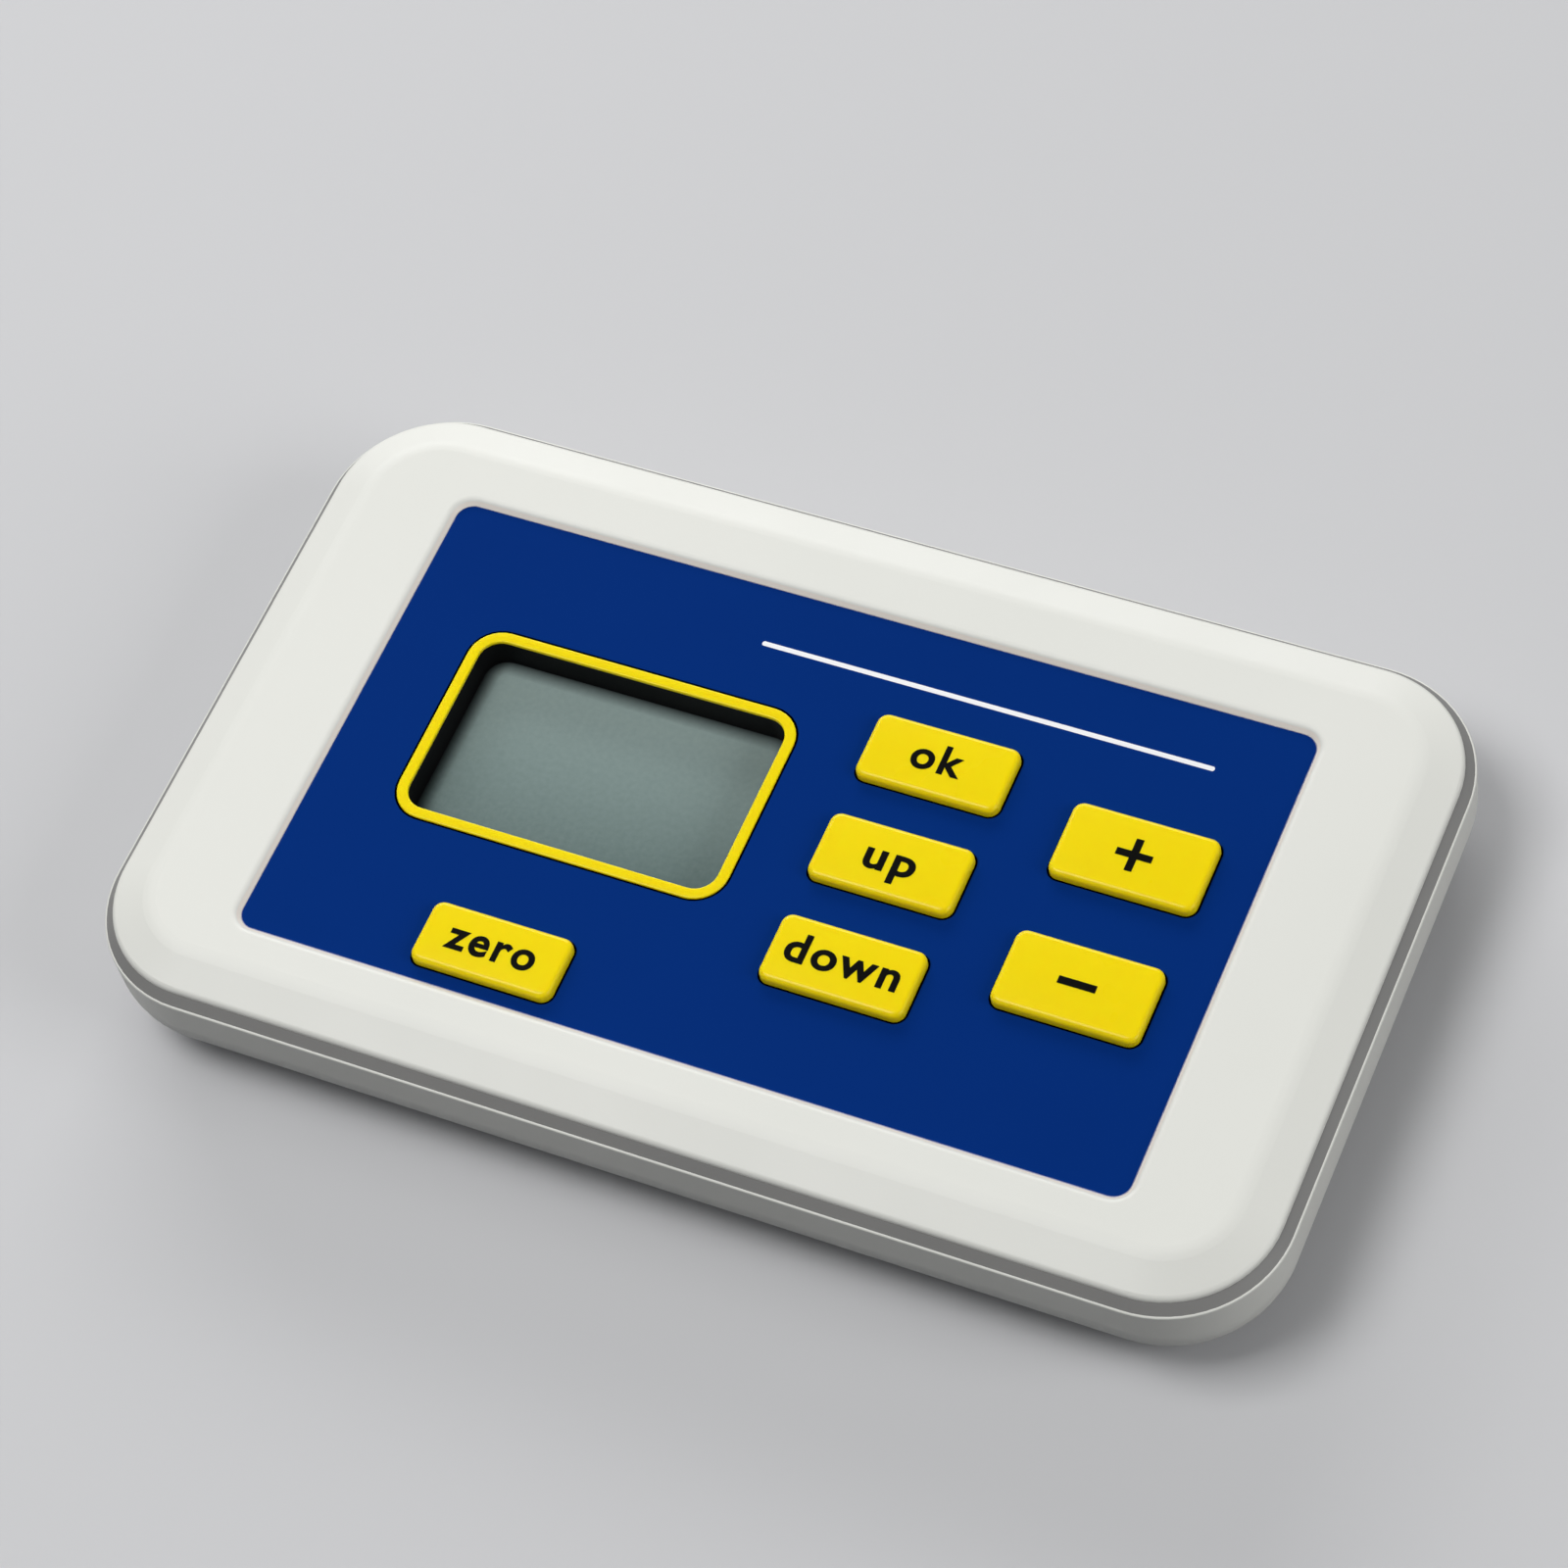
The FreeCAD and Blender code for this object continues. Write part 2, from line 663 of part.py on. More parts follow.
def make_panel_overlay():
    body = add_body("panel_overlay")
    raise_block(body, (0, "panel_y", DECK_TOP), "panel_length - 2 * overlay_gap",
                "panel_width - 2 * overlay_gap", "panel_corner - overlay_gap", "overlay_thickness")
    cut_display_hole(body, DECK_TOP, "overlay_thickness")
    cut_key_holes(body, DECK_TOP, "overlay_thickness")
    return body


# Display, from the yellow frame down to the board
def make_display_bezel():
    """A frame that stands through the deck on the shroud's flange, lipped over the shroud's wall."""
    body = add_body("display_bezel", ("display_x", DISPLAY_Y, FLANGE_TOP))
    height = f"({OVERLAY_TOP} + bezel_rise - {FLANGE_TOP})"
    raise_block(body, (0, 0, 0), BEZEL_LENGTH, BEZEL_WIDTH, BEZEL_CORNER, height)
    cut_block(body, (0, 0, 0), "window_length + 2 * shroud_wall + 2 * fit_gap",
              "window_width + 2 * shroud_wall + 2 * fit_gap", "window_corner + shroud_wall + fit_gap",
              f"{height} - bezel_lip")
    cut_block(body, (0, 0, 0), "window_length", "window_width", "window_corner", height)
    bezel_top = number(height)
    round_edges(body, "bezel_edge", lambda edge: flat_at(edge, bezel_top))
    return body


def make_display_shroud():
    """A black wall round the glass, with a flange under the deck."""
    body = add_body("display_shroud", ("display_x", DISPLAY_Y, GLASS_TOP))
    wall_top = f"({OVERLAY_TOP} + bezel_rise - bezel_lip - fit_gap)"
    raise_block(body, (0, 0, 0), f"{BEZEL_LENGTH} + 2 * shroud_flange",
                f"{BEZEL_WIDTH} + 2 * shroud_flange", f"{BEZEL_CORNER} + shroud_flange",
                f"{FLANGE_TOP} - {GLASS_TOP}")
    raise_block(body, (0, 0, 0), "window_length + 2 * shroud_wall", "window_width + 2 * shroud_wall",
                "window_corner + shroud_wall", f"{wall_top} - {GLASS_TOP}")
    cut_block(body, (0, 0, 0), "window_length", "window_width", "window_corner", "2 * shroud_depth")
    return body


def make_lcd_glass():
    """Two plates of glass, the lower one wider so that its contact ledges are bare."""
    body = add_body("lcd_glass", ("display_x", DISPLAY_Y, f"{GLASS_TOP} - 2 * glass_thickness"))
    raise_box(body, (0, 0, 0), "glass_length", "glass_width - 2 * glass_ledge", "2 * glass_thickness")
    raise_box(body, (0, 0, "glass_thickness"), "glass_length", "glass_width", "glass_thickness")
    return body


BACKLIGHT_HEIGHT = f"({GLASS_TOP} - 2 * glass_thickness - {BOARD_TOP})"


def make_lcd_backlight():
    body = add_body("lcd_backlight", ("display_x", DISPLAY_Y, BOARD_TOP))
    raise_block(body, (0, 0, 0), "backlight_length", "backlight_width", "board_corner", BACKLIGHT_HEIGHT)
    return body


def make_contact_strips():
    """Two rubber strips that carry the board's signals up to the glass ledges."""
    strips = []
    for side in (-1, 1):
        strip = document.addObject("Part::Box", "ContactStrip")
        strip.setExpression("Length", bound("strip_length"))
        strip.setExpression("Width", bound("strip_width"))
        strip.setExpression("Height", bound(f"{BACKLIGHT_HEIGHT} + glass_thickness"))
        middle = f"{DISPLAY_Y} + {side} * (glass_width - strip_width) / 2"
        place_at(strip, ("display_x - strip_length / 2", f"{middle} - strip_width / 2", BOARD_TOP))
        strips.append(strip)
    group = document.addObject("Part::Compound", "lcd_contact_strips")
    group.Label = "lcd_contact_strips"
    group.Links = strips
    return group


# Board and the parts soldered to it
def make_main_board():
    body = add_body("main_board", (0, "board_y", "foot_height + board_base"))
    raise_block(body, (0, 0, 0), "board_length", "board_width", "board_corner", "board_thickness")
    cut_box(body, (0, "(board_width - notch_width) / 2", 0),
            "notch_length", "notch_width", "board_thickness")
    holes = add_sketch(body, (0, "board_screw_y - board_y", 0))
    draw_four_circles(holes, "board_screw_x", "board_screw_span / 2", "board_screw_radius + screw_gap")
    pocket(body, holes, "board_thickness", reverse=True)
    return body


def make_chip(label, name):
    body = add_body(label, (f"{name}_x", f"{name}_y", BOARD_TOP))
    raise_block(body, (0, 0, 0), f"{name}_length", f"{name}_width", f"{name}_corner", f"{name}_height")
    return body


def make_key(name, x, y, width):
    """A hollow key cap: flange under the deck, soft top edge and a stem down to its switch."""
    body = add_body(f"key_{name}", (x, y, 0))
    flange_base = f"({FLANGE_TOP} - key_flange)"
    roof_base = f"({OVERLAY_TOP} + key_rise - key_roof)"
    raise_block(body, (0, 0, flange_base), "key_length + 2 * key_flange", f"{width} + 2 * key_flange",
                "key_corner + key_flange", "key_flange")
    raise_block(body, (0, 0, flange_base), "key_length", width, "key_corner",
                f"{OVERLAY_TOP} + key_rise - {flange_base}")
    key_top = number(f"{OVERLAY_TOP} + key_rise")
    round_edges(body, "key_edge", lambda edge: flat_at(edge, key_top))
    cut_block(body, (0, 0, flange_base), "key_length - 2 * key_wall", f"{width} - 2 * key_wall",
              "key_edge", f"{roof_base} - {flange_base}")
    stem_base = f"({BOARD_TOP} + switch_reach)"
    raise_post(body, (0, 0, stem_base), "key_stem", f"{roof_base} - {stem_base} + key_edge")
    return body


def make_key_switch(name, x, y):
    """A switch body on four soldered legs, with a well for its plunger."""
    body = add_body(f"switch_{name}", (x, y, BOARD_TOP))
    raise_block(body, (0, 0, 0), "switch_side", "switch_side", "key_edge", "switch_height")
    for side_x, side_y in ((1, 1), (-1, 1), (-1, -1), (1, -1)):
        foot = (f"{side_x} * (switch_side + leg_length) / 2", f"{side_y} * leg_spread / 2", 0)
        raise_box(body, foot, "leg_length", "leg_width", "leg_thickness")
    well_base = "switch_reach - plunger_length - 2 * plunger_gap"
    cut_hole(body, (0, 0, well_base), "plunger_radius + plunger_gap", "switch_height")
    return body


def make_plunger(name, x, y):
    body = add_body(f"plunger_{name}", (x, y, f"{BOARD_TOP} + switch_reach - plunger_length"))
    raise_post(body, (0, 0, 0), "plunger_radius", "plunger_length")
    return body


def make_probe_socket():
    face = f"({BACK_INNER} - wall_gap)"
    body = add_body("probe_socket")
    raise_box(body, ("probe_x", f"{face} - probe_body_length / 2", BOARD_TOP),
              "probe_body_width", "probe_body_length", "probe_body_height")
    snout = add_sketch(body, ("probe_x", SOCKET_HEIGHT, f"-{face}"), "XZ_Plane")
    draw_circle(snout, "probe_snout")
    pad(body, snout, "case_wall", reverse=True)
    bore = add_sketch(body, ("probe_x", SOCKET_HEIGHT, f"-({face} + case_wall)"), "XZ_Plane")
    draw_circle(bore, "probe_bore")
    pocket(body, bore, "probe_depth", reverse=True)
    return body


def make_power_switch():
    face = f"({BACK_INNER} - wall_gap)"
    body = add_body("power_switch")
    raise_box(body, ("power_x", f"{face} - power_depth / 2", BOARD_TOP),
              "power_length", "power_depth", "power_height")
    slot = add_sketch(body, ("power_x", POWER_HEIGHT, f"-{face}"), "XZ_Plane")
    draw_rectangle(slot, SLOT_LENGTH, SLOT_HEIGHT)
    pocket(body, slot, "slider_length", reverse=True)
    return body


def make_power_slider():
    """The switch's thumb slider, drawn at its off end."""
    body = add_body("power_slider")
    tip = f"({BACK_FACE} - slider_gap)"
    sketch = add_sketch(body, ("power_x - slider_travel / 2", POWER_HEIGHT, f"-{tip}"), "XZ_Plane")
    draw_rounded_rectangle(sketch, "slider_length", "slider_height", "slider_gap")
    pad(body, sketch, "slider_length + case_wall - slider_gap")
    return body


# Battery bay: two cells end for end, their contacts and the sliding door
LEAF_REACH = "(bay_length - contact_thickness - cell_length)"


def make_cell(label, y, turn, shift):
    start = f"{shift} * (bay_length / 2 - contact_thickness - cell_length)"
    body = add_body(label, (start, y, "cell_height"))
    body.Placement.Rotation = FreeCAD.Rotation(FreeCAD.Vector(0, 1, 0), turn)
    turn_profile(body, [
        (0, 0),
        ("cell_radius", 0),
        ("cell_radius", "cell_length - cell_nub_length"),
        ("cell_nub_radius", "cell_length - cell_nub_length"),
        ("cell_nub_radius", "cell_length"),
        (0, "cell_length"),
    ])
    return body


def make_contact(label, side, y, span, leaf):
    """A plate on the bay's end wall, with a bent leaf where it meets a cell's flat end."""
    body = add_body(label, (f"{side} * bay_length / 2", y, "cell_height - contact_height / 2"))
    turn = 180 if side > 0 else 0
    body.Placement.Rotation = FreeCAD.Rotation(FreeCAD.Vector(0, 0, 1), turn)
    raise_box(body, ("contact_thickness / 2", f"{span} / 2", 0), "contact_thickness",
              f"contact_width + {span}", "contact_height")
    if leaf:
        sketch = add_sketch(body, plane="XZ_Plane")
        draw_outline(sketch, [
            (0, 0),
            ("contact_thickness", 0),
            (LEAF_REACH, "contact_height / 2"),
            (f"{LEAF_REACH} / 2", "contact_height"),
            (f"{LEAF_REACH} / 2 - contact_thickness", "contact_height"),
            (f"{LEAF_REACH} - leaf_thickness", "contact_height / 2"),
            (0, "2 * contact_thickness"),
        ])
        strip = pad(body, sketch, "contact_width / 2")
        strip.Midplane = True
    return body


def make_battery_door():
    """A skin that follows the shell's rolled edge, with rails that run in the bay's grooves."""
    slab = add_body("DoorSlab")
    middle = f"{DOOR_MIDDLE} + door_gap"
    raise_box(slab, (0, middle, "foot_height"),
              "bay_length - 2 * door_gap", DOOR_REACH, "door_skin + door_gap")
    raise_box(slab, (0, middle, "foot_height + door_skin + door_gap"),
              "bay_length + 2 * door_rail_width - 2 * door_gap", DOOR_REACH, "door_rail")
    for groove in range(4):
        groove_y = f"{BACK_FACE} - roll_radius - {groove} * grip_pitch"
        cut_block(slab, (0, groove_y, "foot_height"),
                  "grip_length", "grip_width", "grip_corner", "grip_depth")
    form = add_body("DoorForm")
    raise_shell_form(form)
    door = document.addObject("Part::Common", "battery_door")
    door.Label = "battery_door"
    door.Base = slab
    door.Tool = form
    return door


# Feet and fasteners
def make_foot(label, side_x, side_y):
    body = add_body(label, (f"{side_x} * foot_x", f"{side_y} * foot_y", 0))
    raise_post(body, (0, 0, 0), "foot_radius", "foot_height + foot_seat")
    bevel_edges(body, "foot_edge", lambda edge: flat_at(edge, 0))
    return body


def make_screw(label, place, down, radius, length, head_radius, head_height):
    """A pan-head screw with a cross recess; its head's seat is at the body's origin."""
    body = add_body(label, place)
    if down:
        body.Placement.Rotation = FreeCAD.Rotation(FreeCAD.Vector(1, 0, 0), 180)
    raise_post(body, (0, 0, 0), radius, length)
    raise_post(body, (0, 0, f"-{head_height}"), head_radius, head_height)
    head_face = number(f"-{head_height}")
    bevel_edges(body, "drive_width", lambda edge: flat_at(edge, head_face))
    for long_x, long_y in ((1, 0), (0, 1)):
        arm_x = "drive_length" if long_x else "drive_width"
        arm_y = "drive_length" if long_y else "drive_width"
        cut_box(body, (0, 0, f"-{head_height}"), arm_x, arm_y, "drive_depth")
    return body


def make_parts():
    parts = [
        make_lower_case(),
        make_upper_case(),
        make_seam_ring(),
        make_panel_overlay(),
        make_display_bezel(),
        make_display_shroud(),
        make_lcd_glass(),
        make_lcd_backlight(),
        make_contact_strips(),
        make_main_board(),
        make_chip("processor_chip", "processor"),
        make_chip("converter_chip", "converter"),
        make_chip("amplifier_chip", "amplifier"),
        make_chip("clock_crystal", "crystal"),
        make_probe_socket(),
        make_power_switch(),
        make_power_slider(),
        make_cell("cell_front", "cell_front_y", 90, 1),
        make_cell("cell_rear", "cell_front_y + cell_pitch", -90, -1),
        make_contact("contact_minus", -1, "cell_front_y", 0, leaf=True),
        make_contact("contact_plus", -1, "cell_front_y + cell_pitch", 0, leaf=False),
        make_contact("contact_bridge", 1, "cell_front_y + cell_pitch", "cell_pitch", leaf=True),
        make_battery_door(),
    ]
    for name, (x, y, width) in KEYS.items():
        parts.append(make_key(name, x, y, width))
        parts.append(make_key_switch(name, x, y))
        parts.append(make_plunger(name, x, y))
    for row, side_y in (("front", -1), ("rear", 1)):
        for end, side_x in (("left", -1), ("right", 1)):
            parts.append(make_foot(f"foot_{row}_{end}", side_x, side_y))
    case_screw = make_screw("CaseScrew", ("screw_x", "screw_y", "screw_seat"), False,
                            "screw_radius", "screw_length", "screw_head_radius", "screw_head_height")
    parts.append(four_of(case_screw, "case_screws"))
    board_screw_place = ("board_screw_x", "board_screw_y + board_screw_span / 2", BOARD_TOP)
    board_screw = make_screw("BoardScrew", board_screw_place, True, "board_screw_radius",
                             "board_screw_length", "board_head_radius", "board_head_height")
    parts.append(four_of(board_screw, "board_screws", "board_screw_y"))
    return parts


def check_document():
    """Stop if any feature failed, a cut removed nothing or a pad added nothing."""
    for item in document.Objects:
        if "Invalid" in item.State or "Error" in item.State:
            raise RuntimeError(f"{item.Label} failed: {item.State}")
        base = getattr(item, "BaseFeature", None)
        if base and item.TypeId == "PartDesign::Pocket" and item.Shape.Volume >= base.Shape.Volume:
            raise RuntimeError(f"{item.Label} cuts nothing")
        if base and item.TypeId == "PartDesign::Pad" and item.Shape.Volume <= base.Shape.Volume:
            raise RuntimeError(f"{item.Label} adds nothing")


def write_parts(parts):
    os.makedirs("parts", exist_ok=True)
    for part in parts:
        shape = part.Shape
        if shape.isNull() or not shape.isValid():
            raise RuntimeError(f"{part.Label} has no valid shape")
        shape.exportStep(f"parts/{part.Label}.step")
        print(part.Label, len(shape.Solids), "solid, volume", round(shape.Volume, 1))


all_parts = make_parts()
document.recompute()
check_document()
write_parts(all_parts)
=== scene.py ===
import json
import math
import bmesh
import bpy
from mathutils import Matrix, Vector


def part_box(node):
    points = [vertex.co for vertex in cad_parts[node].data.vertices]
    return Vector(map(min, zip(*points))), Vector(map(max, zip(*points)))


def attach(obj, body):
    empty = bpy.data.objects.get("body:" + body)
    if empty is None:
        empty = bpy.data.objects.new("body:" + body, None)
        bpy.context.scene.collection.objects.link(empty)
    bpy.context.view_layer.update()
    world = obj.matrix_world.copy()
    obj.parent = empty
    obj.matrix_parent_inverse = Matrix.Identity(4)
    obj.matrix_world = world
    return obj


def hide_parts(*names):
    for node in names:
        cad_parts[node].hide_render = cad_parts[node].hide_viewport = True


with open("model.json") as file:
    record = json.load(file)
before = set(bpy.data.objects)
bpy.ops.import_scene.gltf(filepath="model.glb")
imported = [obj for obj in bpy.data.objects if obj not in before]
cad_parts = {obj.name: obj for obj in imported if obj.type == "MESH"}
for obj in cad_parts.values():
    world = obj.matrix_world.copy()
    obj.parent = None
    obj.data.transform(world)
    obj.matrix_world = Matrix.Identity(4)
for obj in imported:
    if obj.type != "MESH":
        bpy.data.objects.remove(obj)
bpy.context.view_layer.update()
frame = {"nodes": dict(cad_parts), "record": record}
scene = bpy.context.scene

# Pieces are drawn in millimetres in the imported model's own frame, and scaled to metres once
MM = 0.001
SHARP_ANGLE = math.radians(35)


def corners_of(node):
    """A solid's lowest and highest corner, in millimetres."""
    low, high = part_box(node)
    return low / MM, high / MM


def spread_of(node):
    """A solid's length, width and middle as seen from above."""
    low, high = corners_of(node)
    size = (high.x - low.x, high.y - low.y)
    middle = ((high.x + low.x) / 2, (high.y + low.y) / 2)
    return size, middle


# Drawing helpers: meshes are drawn in millimetres
CORNER_STEPS = 8
TURN_STEPS = 48
WELD_DISTANCE = 0.0005
FINE_STEPS = 2


def lay_plate(mesh, size, corner, height, middle):
    """Lay a flat rounded rectangle, and return its face."""
    place = Matrix.LocRotScale(Vector((*middle, height)), None, Vector((*size, 1.0)))
    drawn = bmesh.ops.create_grid(mesh, x_segments=1, y_segments=1, size=0.5, matrix=place)
    rounded = bmesh.ops.bevel(
        mesh, geom=drawn["verts"], offset=corner, offset_type="OFFSET",
        segments=CORNER_STEPS, profile=0.5, affect="VERTICES", material=-1)
    return rounded["verts"][0].link_faces[0]


def lay_loop(mesh, size, corner, height, middle):
    """Lay the bare outline of a rounded rectangle, and return its edges."""
    face = lay_plate(mesh, size, corner, height, middle)
    edges = list(face.edges)
    bmesh.ops.delete(mesh, geom=[face], context="FACES_ONLY")
    return edges


def raise_face(mesh, face, rise):
    """Draw a face out along Z with walls behind it, and return the moved face."""
    drawn = bmesh.ops.extrude_face_region(mesh, geom=[face])
    moved = next(item for item in drawn["geom"] if isinstance(item, bmesh.types.BMFace))
    bmesh.ops.translate(mesh, vec=(0.0, 0.0, rise), verts=moved.verts)
    return moved


def shrink_face(mesh, face, inset):
    """Inset a face, and return the faces of the border that is left round it."""
    shrunk = bmesh.ops.inset_region(
        mesh, faces=[face], thickness=inset, use_even_offset=True, use_boundary=True)
    return shrunk["faces"]


def soften(mesh, edges, radius, steps):
    bmesh.ops.bevel(mesh, geom=list(edges), offset=radius, offset_type="OFFSET",
                    segments=steps, profile=0.5, affect="EDGES", material=-1)


def run_profile(mesh, size, corner, middle, profile):
    """Run a closed profile, given as inset and height, round a rounded rectangle; no run of it is level."""
    loops = []
    for inset, height in profile:
        loop_size = (size[0] - 2 * inset, size[1] - 2 * inset)
        loops.append(lay_loop(mesh, loop_size, corner - inset, height, middle))
    for loop, next_loop in zip(loops, loops[1:] + loops[:1]):
        bmesh.ops.bridge_loops(mesh, edges=loop + next_loop)


def turn_profile(mesh, profile, centre, axis, side, finish=0):
    """Turn an open profile, given as radius and reach along the axis, right round a centre."""
    axis = Vector(axis)
    side = Vector(side)
    earlier = set(mesh.faces)
    points = [Vector(centre) + side * radius + axis * reach for radius, reach in profile]
    verts = [mesh.verts.new(point) for point in points]
    edges = [mesh.edges.new(pair) for pair in zip(verts, verts[1:])]
    bmesh.ops.spin(mesh, geom=verts + edges, cent=centre, axis=axis, angle=math.tau,
                   steps=TURN_STEPS, use_merge=True)
    for face in set(mesh.faces) - earlier:
        face.material_index = finish


def add_piece(name, mesh, finishes, body, slot, *nodes):
    """Make a drawn mesh a piece that rides on a body, in place of the given solids."""
    bmesh.ops.remove_doubles(mesh, verts=mesh.verts, dist=WELD_DISTANCE)
    bmesh.ops.recalc_face_normals(mesh, faces=mesh.faces)
    bmesh.ops.scale(mesh, vec=(MM, MM, MM), verts=mesh.verts)
    data = bpy.data.meshes.new(name)
    mesh.to_mesh(data)
    mesh.free()
    for finish in finishes:
        data.materials.append(finish)
    data.shade_smooth()
    data.set_sharp_from_angle(angle=SHARP_ANGLE)
    piece = bpy.data.objects.new(name, data)
    scene.collection.objects.link(piece)
    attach(piece, body)
    if nodes:
        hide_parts(*nodes)
    return piece


# Node groups shared by the materials
BLACK = (0.0, 0.0, 0.0)
NOISE_SPAN = (0.25, 0.75)
GRAIN_HEIGHT = 0.00004
GRAIN_DETAIL = 2.0
GLOSS_DETAIL = 3.0
TONE_DETAIL = 4.0


def new_group(name, inputs, outputs):
    """An empty shader group with named inputs, given as kind and value, and named outputs."""
    group = bpy.data.node_groups.new(name, "ShaderNodeTree")
    for label, (kind, value) in inputs.items():
        socket = group.interface.new_socket(label, in_out="INPUT", socket_type=kind)
        socket.default_value = value
    for label, kind in outputs.items():
        group.interface.new_socket(label, in_out="OUTPUT", socket_type=kind)
    start = group.nodes.new("NodeGroupInput")
    end = group.nodes.new("NodeGroupOutput")
    return group, start.outputs, end.inputs


def add_noise(tree, scale, detail):
    """Fractal noise on the piece's own coordinates; scale is a number or a socket."""
    place = tree.nodes.new("ShaderNodeTexCoord")
    noise = tree.nodes.new("ShaderNodeTexNoise")
    noise.inputs["Detail"].default_value = detail
    tree.links.new(place.outputs["Object"], noise.inputs["Vector"])
    if isinstance(scale, (int, float)):
        noise.inputs["Scale"].default_value = scale
    else:
        tree.links.new(scale, noise.inputs["Scale"])
    return noise.outputs["Fac"]


def add_map(tree, value, span, low, high):
    """Spread a value over a range; each end of the range is a number or a socket."""
    spread = tree.nodes.new("ShaderNodeMapRange")
    spread.inputs["From Min"].default_value = span[0]
    spread.inputs["From Max"].default_value = span[1]
    tree.links.new(value, spread.inputs["Value"])
    for label, end in (("To Min", low), ("To Max", high)):
        if isinstance(end, (int, float)):
            spread.inputs[label].default_value = end
        else:
            tree.links.new(end, spread.inputs[label])
    return spread.outputs["Result"]


def add_blend(tree, factor, first, second):
    """Blend two colours, each a tuple or a socket."""
    blend = tree.nodes.new("ShaderNodeMix")
    blend.data_type = "RGBA"
    tree.links.new(factor, blend.inputs["Factor"])
    for label, colour in (("A", first), ("B", second)):
        if isinstance(colour, tuple):
            blend.inputs[label].default_value = (*colour, 1.0)
        else:
            tree.links.new(colour, blend.inputs[label])
    return blend.outputs["Result"]


def add_axis(tree, coordinates, axis):
    """One axis of a texture coordinate."""
    place = tree.nodes.new("ShaderNodeTexCoord")
    split = tree.nodes.new("ShaderNodeSeparateXYZ")
    tree.links.new(place.outputs[coordinates], split.inputs["Vector"])
    return split.outputs[axis]


def make_grain_group():
    """Spark-eroded mould texture: fine bumps, with gloss that drifts slowly over the surface."""
    group, given, out = new_group(
        "moulded_grain",
        {
            "Grain Scale": ("NodeSocketFloat", 2600.0),
            "Grain Depth": ("NodeSocketFloat", 0.1),
            "Gloss Scale": ("NodeSocketFloat", 60.0),
            "Smoothest": ("NodeSocketFloat", 0.34),
            "Roughest": ("NodeSocketFloat", 0.44),
        },
        {"Roughness": "NodeSocketFloat", "Normal": "NodeSocketVector"},
    )
    grain = add_noise(group, given["Grain Scale"], GRAIN_DETAIL)
    bump = group.nodes.new("ShaderNodeBump")
    bump.inputs["Distance"].default_value = GRAIN_HEIGHT
    group.links.new(given["Grain Depth"], bump.inputs["Strength"])
    group.links.new(grain, bump.inputs["Height"])
    gloss = add_noise(group, given["Gloss Scale"], GLOSS_DETAIL)
    roughness = add_map(group, gloss, NOISE_SPAN, given["Smoothest"], given["Roughest"])
    group.links.new(roughness, out["Roughness"])
    group.links.new(bump.outputs["Normal"], out["Normal"])
    return group


def make_tone_group():
    """Two close tones that drift into each other, as pigment does in moulded plastic or ink.

    Drift is how far the noise carries the blend, and Lean moves it all towards the second tone.
    """
    group, given, out = new_group(
        "tone_drift",
        {
            "Tone": ("NodeSocketColor", (0.8, 0.8, 0.8, 1.0)),
            "Second Tone": ("NodeSocketColor", (0.7, 0.7, 0.7, 1.0)),
            "Scale": ("NodeSocketFloat", 40.0),
            "Drift": ("NodeSocketFloat", 1.0),
            "Lean": ("NodeSocketFloat", 0.0),
        },
        {"Color": "NodeSocketColor"},
    )
    drift = add_map(group, add_noise(group, given["Scale"], TONE_DETAIL), NOISE_SPAN, 0.0, 1.0)
    share = group.nodes.new("ShaderNodeMath")
    share.operation = "MULTIPLY_ADD"
    group.links.new(drift, share.inputs[0])
    group.links.new(given["Drift"], share.inputs[1])
    group.links.new(given["Lean"], share.inputs[2])
    tone = add_blend(group, share.outputs["Value"], given["Tone"], given["Second Tone"])
    group.links.new(tone, out["Color"])
    return group


GRAIN = make_grain_group()
TONE = make_tone_group()


def place_group(tree, group, values):
    node = tree.nodes.new("ShaderNodeGroup")
    node.name = group.name
    node.node_tree = group
    for label, value in values.items():
        node.inputs[label].default_value = value
    return node


def make_finish(name, tone, second_tone, tone_scale, grain, **shader_values):
    """A surface with drifting tone, moulded grain and plain values on the shader's own sockets."""
    material = bpy.data.materials.new(name)
    material.use_nodes = True
    tree = material.node_tree
    shader = tree.nodes["Principled BSDF"]
    colour = place_group(tree, TONE, {
        "Tone": (*tone, 1.0), "Second Tone": (*second_tone, 1.0), "Scale": tone_scale})
    surface = place_group(tree, GRAIN, grain)
    tree.links.new(colour.outputs["Color"], shader.inputs["Base Color"])
    tree.links.new(surface.outputs["Roughness"], shader.inputs["Roughness"])
    tree.links.new(surface.outputs["Normal"], shader.inputs["Normal"])
    for label, value in shader_values.items():
        shader.inputs[label.replace("_", " ")].default_value = value
    return material


